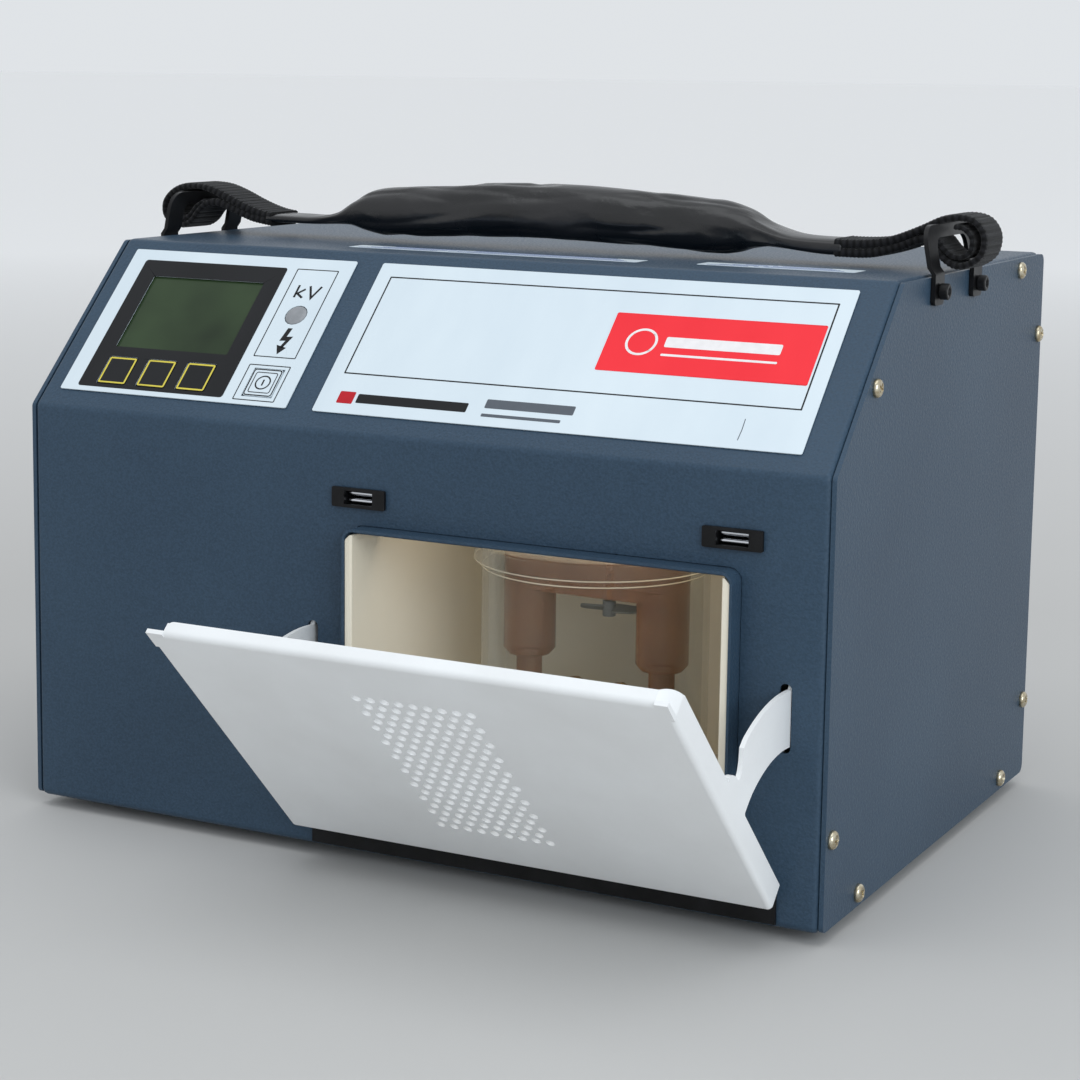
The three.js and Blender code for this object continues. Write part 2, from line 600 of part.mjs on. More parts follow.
['left', 'right'].forEach((side, i) => {
  const x = CATCH.x[i];
  add(`catch_body_${side}`, catchBody(x), LOOK.black);
  for (const [level, sign] of [['upper', 1], ['lower', -1]]) {
    const roller = new THREE.CylinderGeometry(ROLLER.radius, ROLLER.radius, ROLLER.length, 12);
    const mesh = add(`catch_roller_${side}_${level}`, roller.rotateZ(Math.PI / 2), LOOK.chrome);
    mesh.position.set(x, CATCH.rollerY, CATCH.z + sign * ROLLER.pitch / 2);
  }
});

// ---------------------------------------------------------------- sloping panel

const LABEL_LOW = GAP;
const LABEL_HIGH = GAP + LABEL_SHEET;

function controlOverlay() {
  const sheet = alongZ(
    roundedRect(OVERLAY.x0, OVERLAY.x1, OVERLAY.v0, OVERLAY.v1, 1), LABEL_LOW, LABEL_HIGH);
  const display = box(LCD.x0, LCD.x1, LCD.v0, LCD.v1, -1, 3);
  const lamp = alongZ(disc(LAMP.x, LAMP.v, LAMP.radius + 0.3), -1, 3, 8);
  return cut(sheet, display, lamp, ...keyHoles(-1, 3));
}

add('control_overlay', controlOverlay(), LOOK.label, slope);
add('name_plate', alongZ(
  roundedRect(NAME_PLATE.x0, NAME_PLATE.x1, NAME_PLATE.v0, NAME_PLATE.v1, 1), LABEL_LOW, LABEL_HIGH),
LOOK.label, slope);
add('lcd_window',
  box(LCD.x0 - 1.6, LCD.x1 + 1.6, LCD.v0 - 1.6, LCD.v1 + 1.6, -1.8, -0.1), LOOK.display, slope);
add('lcd_module', box(LCD.x0 - 9, LCD.x1 + 8, LCD.v0 - 5.5, LCD.v1 + 8, -9.5, -2.2), LOOK.board, slope);
add('control_pcb', box(OVERLAY.x0 + 3, OVERLAY.x1 - 3, 12.5, 29.5, -6.4, -4.8), LOOK.board, slope);

const keyNames = ['key_left', 'key_middle', 'key_right', 'key_power'];
keyCentres().forEach((x, i) => {
  const half = KEY.size / 2;
  const cap = alongZ(roundedRect(-half, half, -half, half, 0.8), KEY.base, KEY.top);
  add(keyNames[i], cap, LOOK.key, slope).position.set(x, KEY.v, 0);
});

const lensProfile = [[0, -7], [LAMP.radius, -7], [LAMP.radius, 1.2], [LAMP.radius * 0.75, 2.3], [0, 2.8]];
add('hv_lamp_lens', lathe(lensProfile, 20, LAMP.x, LAMP.v), LOOK.lens, slope);

// ---------------------------------------------------------------- carrying strap

function bracketOutline() {
  const half = BRACKET.legs / 2 + BRACKET.legWidth / 2;
  const gap = BRACKET.legs / 2 - BRACKET.legWidth / 2;
  const y = STRAP_Y;
  const { bottom, top, bar } = BRACKET;
  return filleted([
    [y - half, bottom, 2], [y - gap, bottom, 2], [y - gap, top - bar, 5], [y + gap, top - bar, 5],
    [y + gap, bottom, 2], [y + half, bottom, 2], [y + half, top, 9], [y - half, top, 9],
  ]);
}

// Bent sheet in (x, z): up the side panel, a joggle over its edge, then leaning inwards.
function bracketSheet(side) {
  const foot = CASE.width / 2 + GAP;
  const lean = THREE.MathUtils.degToRad(11);
  const joggle = { z: CASE.height + 0.6, rise: 2.6, shift: 2 };
  const rise = BRACKET.top + 1 - joggle.z - joggle.rise;
  const inner = [
    [foot, BRACKET.bottom - 1], [foot, joggle.z],
    [foot - joggle.shift, joggle.z + joggle.rise],
    [foot - joggle.shift - rise * Math.tan(lean), BRACKET.top + 1],
  ];
  const outer = inner.map(([x, z]) => [x + BRACKET.sheet, z]).reverse();
  const outline = new THREE.Shape([...inner, ...outer].map(([x, z]) => new THREE.Vector2(side * x, z)));
  return alongY(outline, STRAP_Y - 60, STRAP_Y + 60);
}

function strapBracket(side) {
  const x = CASE.width / 2;
  const reach = side > 0 ? [x - 20, x + 20] : [-x - 20, -x + 20];
  const plate = common(bracketSheet(side), alongX(bracketOutline(), ...reach, FOLD_STEPS));
  return cut(plate, ...bracketHoles(...reach));
}

function bracketScrew(side, y) {
  const start = CASE.width / 2 + BRACKET.sheet + 2 * GAP;
  const s = BRACKET_SCREW;
  const head = alongX(disc(0, 0, s.head), start, start + s.headHeight, 8);
  const shank = alongX(disc(0, 0, s.shank), start - s.length, start + 1, 6);
  const hexagon = new THREE.Shape(Array.from({ length: 6 }, (_, i) => {
    const turn = i * Math.PI / 3;
    return new THREE.Vector2(1.75 * Math.cos(turn), 1.75 * Math.sin(turn));
  }));
  const socket = alongX(hexagon, start + 2, start + s.headHeight + 1);
  const screw = cut(join(head, shank), socket);
  if (side < 0) screw.rotateZ(Math.PI);
  return screw.translate(0, y, s.z);
}

const spline = (points) => new THREE.SplineCurve(points.map((p) => new THREE.Vector2(...p)));

// Padded middle of the strap in its shrink sleeve, thinning to a flat neck at each end.
function gripOutline() {
  const top = spline([
    [GRIP.left, 272.8], [-128, 272.6], [-112, 275.4], [-98, 285.8], [-70, 289.4], [0, 292.6],
    [60, 290.8], [96, 287.2], [111, 279.6], [128, 274.2], [GRIP.right, 273.6],
  ]).getPoints(30);
  const bottom = spline([
    [GRIP.right, 266], [132, 266], [112, 267.6], [94, 263.6], [50, 265.2], [0, 266.4],
    [-50, 265.2], [-88, 263.4], [-106, 268.6], [-128, 268.4], [GRIP.left, 268.4],
  ]).getPoints(30);
  return new THREE.Shape([...top, ...bottom]);
}

// Webbing from the sleeve up and round the bracket's bar, drawn for the right-hand side.
function strapOutline(start) {
  const over = spline([
    [start, 273.4], [171, 275.2], [188, 281.8], [197, 286.1], [205.6, 287.2], [213.4, 285], [218, 278],
    [217, 269.5], [211.5, 264], [204, 262.6], [196.5, 265.3], [190.4, 272.8], [180, 270.6], [166, 266.4],
    [start, 266.2],
  ]).getPoints(44);
  const eye = spline([
    [192.6, 277.4], [194.4, 282.6], [200, 284.7], [207, 284.6], [213, 281.6], [215.4, 275], [213, 268.4],
    [207, 265.2], [200.4, 266.6], [195.2, 271.6],
  ]);
  const shape = new THREE.Shape(over.reverse());
  shape.holes.push(new THREE.Path(eye.getPoints(24)));
  return shape;
}

const halfWebbing = WEBBING / 2;
const gripEnds = { left: GRIP.left, right: GRIP.right };
for (const [name, side] of [['left', -1], ['right', 1]]) {
  add(`strap_bracket_${name}`, strapBracket(side), LOOK.black);
  screwLegs.forEach((y, i) => {
    add(`bracket_screw_${name}_${i + 1}`, bracketScrew(side, y), LOOK.black);
  });
  const start = Math.abs(gripEnds[name]) + GAP;
  const strap = alongY(strapOutline(start), -halfWebbing, halfWebbing, 1);
  if (side < 0) strap.rotateZ(Math.PI);
  add(`strap_${name}`, strap, LOOK.webbing).position.set(0, STRAP_Y, 0);
}
add('handle_grip', alongY(
  gripOutline(), STRAP_Y - GRIP.width / 2, STRAP_Y + GRIP.width / 2, 1), LOOK.shrink);

// ---------------------------------------------------------------- works inside the case

const floor = SHEET + GAP;
add('hv_transformer', alongZ(roundedRect(-186, -60, 84, 226, 8), floor, 132), LOOK.potting);
add('power_supply', box(-50, 52, 172, 262, floor, 66), LOOK.steel);
add('battery_pack', box(62, 182, 150, 258, floor, 74), LOOK.potting);
add('interlock_switch', box(185.2, 192, 40, 62, 30, 52), LOOK.black);

function mainsInlet() {
  const y = CASE.depth;
  const { x, z, w, h, flangeW, flangeH, depth } = INLET;
  const flange = alongY(
    roundedRect(x - flangeW / 2, x + flangeW / 2, z - flangeH / 2, z + flangeH / 2, 6), y + GAP, y + 3.3);
  const body = box(x - w / 2, x + w / 2, y - depth, y + 1, z - h / 2, z + h / 2);
  const recess = alongY(filleted([
    [x - 12.2, z - 8.4, 1], [x + 12.2, z - 8.4, 1], [x + 12.2, z + 3, 1], [x + 7, z + 8.4, 1],
    [x - 7, z + 8.4, 1], [x - 12.2, z + 3, 1],
  ]), y - 13, y + 10);
  const blades = [[-7, -2], [0, 3], [7, -2]].map(([dx, dz]) => box(
    x + dx - 1, x + dx + 1, y - 14, y + 1, z + dz - 2, z + dz + 2));
  return join(cut(join(flange, body), recess), ...blades);
}

add('mains_inlet', mainsInlet(), LOOK.black);

function earthTerminal() {
  const y = CASE.depth;
  const stud = alongY(disc(EARTH.x, EARTH.z, EARTH.radius), y - 8, y + 13, 6);
  const nut = alongY(disc(EARTH.x, EARTH.z, 5.8), y + GAP, y + 5.3, 3);
  return join(stud, nut);
}

add('earth_terminal', earthTerminal(), LOOK.brass);

// ---------------------------------------------------------------- origin

assembly.updateMatrixWorld(true);
const extent = new THREE.Box3().setFromObject(assembly, true);
const centre = extent.getCenter(new THREE.Vector3());
assembly.position.set(-centre.x, -centre.y, -extent.min.z);
assembly.name = 'oil_test_set';

const part = new THREE.Group();
part.add(assembly);

export default part;
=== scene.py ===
"""Looks of a portable insulating-oil dielectric test set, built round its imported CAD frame.

Lengths are in millimetres in the case frame unless a name ends in _m: x = 0 on the middle of the
case, +x to the operator's right; y = 0 on the front panel, +y to the back; z = 0 on the underside
of the base sheet. CASE takes that frame to the row frame in metres. SLOPE is the 45 degree panel's
frame, (x, v up the panel, n out of it), and DOOR is the case frame as seen with the door closed.
"""

import json
import math

import bmesh
import bpy
from mathutils import Matrix, Vector, noise
from mathutils.geometry import tessellate_polygon


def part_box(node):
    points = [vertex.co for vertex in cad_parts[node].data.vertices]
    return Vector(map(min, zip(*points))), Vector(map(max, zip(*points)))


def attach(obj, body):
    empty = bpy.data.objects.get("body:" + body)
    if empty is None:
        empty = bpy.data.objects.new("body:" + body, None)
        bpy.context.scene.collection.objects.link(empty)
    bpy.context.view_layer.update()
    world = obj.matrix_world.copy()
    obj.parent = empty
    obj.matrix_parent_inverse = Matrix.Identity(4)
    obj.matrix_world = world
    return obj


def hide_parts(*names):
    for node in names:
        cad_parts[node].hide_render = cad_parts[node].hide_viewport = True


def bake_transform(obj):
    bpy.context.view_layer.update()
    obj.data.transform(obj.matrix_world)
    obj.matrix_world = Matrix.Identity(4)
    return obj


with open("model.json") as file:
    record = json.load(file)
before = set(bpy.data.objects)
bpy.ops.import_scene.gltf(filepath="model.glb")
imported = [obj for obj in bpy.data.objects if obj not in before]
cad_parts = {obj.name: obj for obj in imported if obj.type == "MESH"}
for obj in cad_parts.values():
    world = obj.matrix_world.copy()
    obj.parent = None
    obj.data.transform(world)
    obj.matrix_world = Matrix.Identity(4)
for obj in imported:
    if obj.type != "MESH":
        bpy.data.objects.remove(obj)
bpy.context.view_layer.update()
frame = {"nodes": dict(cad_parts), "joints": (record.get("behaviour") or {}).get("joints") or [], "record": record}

MM = 0.001
FRONT_HEIGHT = 188.4
CASE_TOP = 261.4
SIDE_X = 200.0
LABEL_TOP = 0.8
PRINT_TOP = 0.86

front_y_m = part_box("front_cover")[0].y
base_z_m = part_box("base_plate")[0].z
CASE = Matrix.Translation((0, front_y_m, base_z_m)) @ Matrix.Scale(MM, 4)
SLOPE = CASE @ Matrix.Translation((0, 0, FRONT_HEIGHT)) @ Matrix.Rotation(math.radians(45), 4, "X")

door_joint = next(j for j in frame["joints"] if j["name"] == "door_hinge")
hinge_m = Matrix.Translation(door_joint["pos_m"])
opening = Matrix.Rotation(-math.radians(door_joint["range_deg"][0]), 4, "X")
DOOR = hinge_m @ opening @ hinge_m.inverted() @ CASE


# ---------------------------------------------------------------- materials


def rgb(red, green, blue):
    """A colour given as 0 to 255 screen values, in linear light."""
    return tuple(
        c / 12.92 if c <= 0.04045 else ((c + 0.055) / 1.055) ** 2.4
        for c in (v / 255 for v in (red, green, blue))
    ) + (1.0,)


class Finish:
    """A procedural material: one principled shader fed by patterns in object or UV coordinates."""

    def __init__(self, name, uv=False, **constants):
        self.material = bpy.data.materials.new(name)
        self.material.use_nodes = True
        self.tree = self.material.node_tree
        self.shader = next(n for n in self.tree.nodes if n.type == "BSDF_PRINCIPLED")
        coordinates = self.add("ShaderNodeTexCoord")
        self.place = coordinates.outputs["UV" if uv else "Object"]
        for key, value in constants.items():
            self.shader.inputs[key.replace("_", " ")].default_value = value

    def add(self, kind, inputs=None, **settings):
        node = self.tree.nodes.new(kind)
        for key, value in settings.items():
            setattr(node, key, value)
        for key, value in (inputs or {}).items():
            self.feed(node.inputs[key], value)
        return node

    def feed(self, socket, value):
        if isinstance(value, bpy.types.NodeSocket):
            self.tree.links.new(value, socket)
        else:
            socket.default_value = value

    def stretched(self, x, y, z):
        return self.add("ShaderNodeMapping", {"Vector": self.place, "Scale": (x, y, z)}).outputs[0]

    def noise(self, scale, detail=3.0, place=None):
        inputs = {"Vector": place or self.place, "Scale": scale, "Detail": detail}
        return self.add("ShaderNodeTexNoise", inputs).outputs["Fac"]

    def cells(self, scale, place=None):
        inputs = {"Vector": place or self.place, "Scale": scale, "Smoothness": 0.6}
        return self.add(
            "ShaderNodeTexVoronoi", inputs, feature="SMOOTH_F1"
        ).outputs["Distance"]

    def bands(self, scale, axis, place=None, distortion=0.0):
        inputs = {"Vector": place or self.place, "Scale": scale, "Distortion": distortion}
        node = self.add("ShaderNodeTexWave", inputs, wave_type="BANDS", bands_direction=axis)
        return node.outputs["Fac"]

    def remap(self, value, low, high, to_low, to_high):
        inputs = {"Value": value, 1: low, 2: high, 3: to_low, 4: to_high}
        return self.add("ShaderNodeMapRange", inputs).outputs[0]

    def maths(self, operation, a, b):
        return self.add("ShaderNodeMath", {0: a, 1: b}, operation=operation).outputs[0]

    def mix(self, share, a, b):
        node = self.add("ShaderNodeMix", {0: share, 6: a, 7: b}, data_type="RGBA")
        return node.outputs[2]

    def bump(self, height, strength, depth, under=None):
        inputs = {"Height": height, "Strength": strength, "Distance": depth}
        node = self.add("ShaderNodeBump", inputs)
        if under is not None:
            self.tree.links.new(under, node.inputs["Normal"])
        return node.outputs["Normal"]

    def finish(self, colour=None, roughness=None, normal=None, alpha=None, metallic=None):
        given = {
            "Base Color": colour, "Roughness": roughness, "Normal": normal, "Alpha": alpha,
            "Metallic": metallic,
        }
        for key, value in given.items():
            if value is not None:
                self.feed(self.shader.inputs[key], value)
        return self.material


def powder_coat():
    """Dark slate-blue hammered powder coat: fine leathery grain with broad tone changes."""
    f = Finish("case_powder_coat", Specular_IOR_Level=0.22)
    tone = f.remap(f.noise(9.0, 4.0), 0.3, 0.7, 0.0, 1.0)
    speck = f.remap(f.noise(900.0, 2.0), 0.35, 0.65, 0.0, 1.0)
    broad = f.mix(tone, rgb(47, 65, 82), rgb(54, 73, 90))
    colour = f.mix(f.maths("MULTIPLY", speck, 0.35), broad, rgb(66, 88, 110))
    grain = f.maths("ADD", f.noise(950.0, 2.0), f.maths("MULTIPLY", f.cells(520.0), 0.45))
    normal = f.bump(grain, 0.55, 0.00032)
    return f.finish(colour, f.remap(speck, 0.0, 1.0, 0.3, 0.46), normal)


def door_paint():
    """White gloss powder coat, a little grey with handling."""
    f = Finish("door_powder_coat", Specular_IOR_Level=0.5)
    dirt = f.remap(f.noise(22.0, 5.0), 0.2, 0.8, 0.0, 1.0)
    colour = f.mix(dirt, rgb(240, 242, 243), rgb(228, 229, 229))
    normal = f.bump(f.noise(520.0, 2.0), 0.3, 0.0002)
    return f.finish(colour, f.remap(dirt, 0.0, 1.0, 0.32, 0.42), normal)


def cream_liner():
    f = Finish("cream_liner", Specular_IOR_Level=0.5)
    stain = f.remap(f.noise(14.0, 4.0), 0.2, 0.8, 0.0, 1.0)
    colour = f.mix(stain, rgb(243, 236, 219), rgb(236, 227, 206))
    normal = f.bump(f.noise(160.0, 2.0), 0.12, 0.0004)
    return f.finish(colour, f.remap(stain, 0.0, 1.0, 0.42, 0.52), normal)


def printed_label(name, light, dark):
    """Satin printed film with faint smears."""
    f = Finish(name, Specular_IOR_Level=0.2)
    smear = f.remap(f.noise(30.0, 5.0, f.stretched(1.0, 0.35, 0.35)), 0.2, 0.8, 0.0, 1.0)
    normal = f.bump(f.noise(900.0, 1.0), 0.1, 0.00006)
    return f.finish(f.mix(smear, light, dark), f.remap(smear, 0.0, 1.0, 0.3, 0.44), normal)


def display_glass():
    """Unlit reflective display: dark olive with a lighter haze in random patches."""
    f = Finish("display_glass", Coat_Weight=0.08, Coat_Roughness=0.1, Specular_IOR_Level=0.2)
    haze = f.remap(f.noise(26.0, 2.0), 0.3, 0.75, 0.0, 1.0)
    pixels = f.bands(900.0, "X")
    colour = f.mix(haze, rgb(30, 44, 26), rgb(52, 70, 44))
    return f.finish(f.mix(f.maths("MULTIPLY", pixels, 0.12), colour, rgb(30, 40, 26)), 0.2)


def circuit_board():
    f = Finish("circuit_board")
    tracks = f.remap(f.bands(160.0, "X", distortion=2.5), 0.45, 0.55, 0.0, 1.0)
    colour = f.mix(tracks, rgb(12, 58, 34), rgb(22, 84, 48))
    return f.finish(colour, 0.35, f.bump(tracks, 0.3, 0.00008))


def lamp_lens():
    f = Finish("lamp_lens", Coat_Weight=0.3, Coat_Roughness=0.1)
    cloud = f.noise(240.0, 3.0)
    return f.finish(f.mix(cloud, rgb(118, 122, 126), rgb(150, 152, 156)), 0.28)


def black_coat(name, shade, roughness, grain, depth):
    """Black paint, plastic or rubber with its own grain."""
    f = Finish(name, Specular_IOR_Level=0.22)
    wear = f.remap(f.noise(70.0, 4.0), 0.4, 0.75, 0.0, 1.0)
    colour = f.mix(wear, rgb(shade, shade, shade + 1), rgb(shade + 12, shade + 12, shade + 14))
    normal = f.bump(f.noise(grain, 2.0), 0.35, depth)
    return f.finish(colour, f.remap(wear, 0.0, 1.0, roughness, roughness + 0.12), normal)


def bare_metal(name, light, dark, low, high, streak=60.0):
    """Plated or machined metal with fine streaks."""
    f = Finish(name)
    lines = f.noise(streak, 4.0, f.stretched(1.0, 1.0, 9.0))
    normal = f.bump(lines, 0.15, 0.00004)
    return f.finish(f.mix(lines, light, dark), f.remap(lines, 0.3, 0.7, low, high), normal, metallic=1.0)


def zinc_plate():
    """Yellowish zinc plating with rainbow patches."""
    f = Finish("zinc_plate")
    patch = f.remap(f.noise(420.0, 3.0), 0.35, 0.65, 0.0, 1.0)
    colour = f.mix(patch, rgb(214, 206, 184), rgb(176, 160, 128))
    return f.finish(colour, f.remap(patch, 0.0, 1.0, 0.18, 0.34), metallic=1.0)


def clear_plastic():
    """Clear moulded plastic: thin face-on, milky where it is seen edge-on."""
    f = Finish("clear_plastic", Specular_IOR_Level=0.6, IOR=1.49, Coat_Weight=0.2)
    edge = f.add("ShaderNodeLayerWeight", {"Blend": 0.35}).outputs["Facing"]
    film = f.remap(f.noise(40.0, 3.0), 0.3, 0.7, 0.0, 0.02)
    alpha = f.maths("ADD", f.remap(edge, 0.25, 1.0, 0.015, 0.6), film)
    return f.finish(rgb(214, 212, 200), 0.06, alpha=alpha)


def amber_plastic():
    """Brown translucent moulded plastic."""
    f = Finish("amber_plastic", Specular_IOR_Level=0.6, IOR=1.52, Coat_Weight=0.3)
    cloud = f.remap(f.noise(60.0, 3.0), 0.3, 0.7, 0.0, 1.0)
    edge = f.add("ShaderNodeLayerWeight", {"Blend": 0.4}).outputs["Facing"]
    colour = f.mix(cloud, rgb(118, 76, 48), rgb(150, 102, 66))
    return f.finish(colour, 0.2, alpha=f.remap(edge, 0.0, 1.0, 0.42, 0.9))


def grey_moulding(name, light, dark, roughness):
    f = Finish(name)
    cloud = f.noise(55.0, 4.0)
    normal = f.bump(f.noise(700.0, 2.0), 0.25, 0.0001)
    return f.finish(f.mix(cloud, light, dark), roughness, normal)


def woven_webbing():
    """Black polyester webbing: UV is metres along and across the strap, ribs run across it."""
    f = Finish("woven_webbing", uv=True, Sheen_Weight=0.12, Sheen_Roughness=0.5, Specular_IOR_Level=0.15)
    ribs = f.bands(100.0, "X", distortion=0.4)
    yarns = f.bands(330.0, "Y", distortion=0.6)
    weave = f.maths("MULTIPLY", ribs, f.remap(yarns, 0.0, 1.0, 0.55, 1.0))
    fluff = f.noise(1500.0, 2.0)
    colour = f.mix(weave, rgb(6, 6, 7), rgb(30, 30, 33))
    height = f.maths("ADD", weave, f.maths("MULTIPLY", fluff, 0.35))
    return f.finish(colour, 0.82, f.bump(height, 0.8, 0.0005))


def shrink_sleeve():
    """Semi-gloss black shrink sleeve with fine creases drawn along it and dusty patches."""
    f = Finish("shrink_sleeve", uv=True, Specular_IOR_Level=0.6)
    creases = f.noise(38.0, 4.0, f.stretched(0.35, 1.0, 1.0))
    fine = f.noise(420.0, 3.0)
    dust = f.remap(f.noise(24.0, 5.0), 0.42, 0.75, 0.0, 1.0)
    colour = f.mix(dust, rgb(12, 12, 14), rgb(30, 29, 31))
    height = f.maths("ADD", creases, f.maths("MULTIPLY", fine, 0.12))
    roughness = f.remap(dust, 0.0, 1.0, 0.24, 0.42)
    return f.finish(colour, roughness, f.bump(height, 0.55, 0.0018))


def printed_ink(name, ink):
    f = Finish(name, Specular_IOR_Level=0.2)
    cloud = f.noise(260.0, 3.0)
    deep = tuple(c * 0.8 for c in ink[:3]) + (1.0,)
    return f.finish(f.mix(cloud, ink, deep), 0.4, f.bump(f.noise(1200.0, 1.0), 0.08, 0.00004))


FINISHES = {
    "case_paint": powder_coat(),
    "liner": cream_liner(),
    "door_paint": door_paint(),
    "label": printed_label("printed_label", rgb(218, 229, 235), rgb(206, 218, 226)),
    "display": display_glass(),
    "board": circuit_board(),
    "lamp": lamp_lens(),
    "key": black_coat("key_membrane", 20, 0.34, 900.0, 0.00008),
    "black_metal": black_coat("black_paint", 16, 0.32, 800.0, 0.0001),
    "chrome": bare_metal("chrome", rgb(226, 228, 232), rgb(198, 200, 206), 0.06, 0.16),
    "steel": bare_metal("steel", rgb(186, 187, 188), rgb(150, 151, 152), 0.24, 0.4),
    "supply_case": bare_metal("aluminium", rgb(190, 192, 194), rgb(170, 172, 176), 0.32, 0.46),
    "rubber": black_coat("rubber", 24, 0.7, 500.0, 0.0002),
    "clear_plastic": clear_plastic(),
    "amber_plastic": amber_plastic(),
    "brass": bare_metal("brass", rgb(206, 168, 92), rgb(176, 136, 66), 0.16, 0.3),
    "grey_plastic": grey_moulding("grey_plastic", rgb(112, 116, 114), rgb(98, 102, 100), 0.5),
    "resin": grey_moulding("cast_resin", rgb(80, 50, 38), rgb(66, 40, 30), 0.25),
    "potting": grey_moulding("cast_potting", rgb(44, 42, 40), rgb(36, 34, 32), 0.4),
    "black_plastic": black_coat("black_plastic", 18, 0.46, 600.0, 0.00015),
    "webbing": woven_webbing(),
    "shrink_sleeve": shrink_sleeve(),
}
ZINC = zinc_plate()
# Opaque near-white paint for the thin rings on the vessel's rim and lid edges: painted highlights that stand in
# for the bright glints along the clear plastic's edges.
EDGE_GLINT_PAINT = grey_moulding("painted_edge_glint", rgb(232, 226, 208), rgb(206, 198, 176), 0.15)
BRIGHT_SHAFT = bare_metal("bronze", rgb(214, 160, 78), rgb(176, 122, 52), 0.16, 0.3)
BLACK_INK = printed_ink("black_ink", rgb(24, 25, 27))
WINDOW_INK = printed_label("window_print", rgb(18, 19, 21), rgb(28, 29, 32))
GREY_INK = printed_ink("grey_ink", rgb(92, 98, 106))
YELLOW_INK = printed_ink("yellow_ink", rgb(226, 210, 84))
WHITE_INK = printed_ink("white_ink", rgb(244, 240, 240))
RED_INK = printed_ink("red_ink", rgb(190, 26, 38))
RED_FILM = printed_label("red_film", rgb(245, 46, 57), rgb(234, 38, 50))
BLUE_INK = printed_ink("blue_ink", rgb(70, 96, 160))


# ---------------------------------------------------------------- mesh building


def rounded(x0, x1, v0, v1, radius, steps=5):
    """Outline of a rectangle with rounded corners, anticlockwise."""
    corners = [(x1, v1, 0), (x0, v1, 90), (x0, v0, 180), (x1, v0, 270)]
    points = []
    for x, v, start in corners:
        cx = x - math.copysign(radius, x - (x0 + x1) / 2)
        cv = v - math.copysign(radius, v - (v0 + v1) / 2)
        for i in range(steps + 1):
            turn = math.radians(start + 90 * i / steps)
            points.append((cx + radius * math.cos(turn), cv + radius * math.sin(turn)))
    return points


def ring(x, v, radius, steps=32):
    turns = [2 * math.pi * i / steps for i in range(steps)]
    return [(x + radius * math.cos(t), v + radius * math.sin(t)) for t in turns]


def stroke(points, width):
    """Outline of a mitred line through the points."""
    left, right = [], []
    for i, here in enumerate(points):
        at = Vector(here)
        before = (at - Vector(points[i - 1])).normalized() if i else None
        after = (Vector(points[i + 1]) - at).normalized() if i + 1 < len(points) else None
        along = ((before or after) + (after or before)).normalized()
        normal = Vector((-along.y, along.x))
        reach = width / 2 / max(0.35, abs(along.dot(after or before)))
        left.append(tuple(at + normal * reach))
        right.append(tuple(at - normal * reach))
    return left + right[::-1]


class Skin:
    """A mesh gathered face by face, in a frame of its own; equal points are shared."""

    def __init__(self):
        self.index = {}
        self.faces = []
        self.uvs = {}

    def point(self, p, uv=None):
        key = tuple(round(c, 5) for c in p)
        found = self.index.setdefault(key, len(self.index))
        if uv is not None:
            self.uvs[found] = uv
        return found

    def face(self, *corners):
        found = []
        for p in corners:
            i = self.point(p)
            if i not in found:
                found.append(i)
        if len(found) > 2:
            self.faces.append(found)

    def grid(self, rows, closed=False):
        for a, b in zip(rows, rows[1:]):
            count = len(a)
            for i in range(count if closed else count - 1):
                j = (i + 1) % count
                self.face(a[i], a[j], b[j], b[i])

    def sheet(self, loops, lift):
        """A flat patch with holes; lift takes its two coordinates to a point."""
        flat = [Vector((u, v, 0)) for loop in loops for u, v in loop]
        triangles = tessellate_polygon([[Vector((u, v, 0)) for u, v in loop] for loop in loops])
        for t in triangles:
            self.face(*[lift(flat[i].x, flat[i].y) for i in t])

    def object(self, name, matrix, outward=None):
        """outward is a point and direction: the face nearest the point is turned to face that way."""
        mesh = bpy.data.meshes.new(name)
        mesh.from_pydata([matrix @ Vector(p) for p in self.index], [], self.faces)
        work = bmesh.new()
        work.from_mesh(mesh)
        bmesh.ops.recalc_face_normals(work, faces=work.faces)
        if outward is not None:
            point, direction = matrix @ Vector(outward[0]), matrix.to_3x3() @ Vector(outward[1])
            near = min(work.faces, key=lambda f: (f.calc_center_median() - point).length)
            if near.normal.dot(direction) < 0:
                bmesh.ops.reverse_faces(work, faces=work.faces)
        work.to_mesh(mesh)
        work.free()
        mesh.shade_smooth()
        made = bpy.data.objects.new(name, mesh)
        bpy.context.scene.collection.objects.link(made)
        return made


def soften(obj, width, segments=2, angle=40, weld=False):
    """Rounds an object's sharp edges and shades it evenly."""
    if weld:
        joined = obj.modifiers.new("weld", "WELD")
        joined.merge_threshold = 0.00001
    if width:
        edges = obj.modifiers.new("edges", "BEVEL")
        edges.width = width * MM
        edges.segments = segments
        edges.limit_method = "ANGLE"
        edges.angle_limit = math.radians(angle)
        edges.harden_normals = False
    shading = obj.modifiers.new("shading", "WEIGHTED_NORMAL")
    shading.keep_sharp = True
    shading.weight = 80


def dress(obj, material, body="root", slot=None, stands_for=()):
    """Gives a new piece its material and body, and hides the nodes that it stands for; slot is not used."""
    obj.data.materials.clear()
    obj.data.materials.append(material)
    if body is not None:
        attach(obj, body)
    if stands_for:
        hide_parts(*stands_for)
    return obj


def plate(name, loops, low, high, matrix, material, bevel=0.0, **kind):
    """A closed flat piece: an outline with holes, between two heights of the frame given."""
    skin = Skin()
    for height in (low, high):
        skin.sheet(loops, lambda u, v, n=height: (u, v, n))
    for loop in loops:
        skin.grid([[(u, v, n) for u, v in loop] for n in (low, high)], closed=True)
    made = skin.object(name, matrix)
    soften(made, bevel)
    return dress(made, material, **kind)


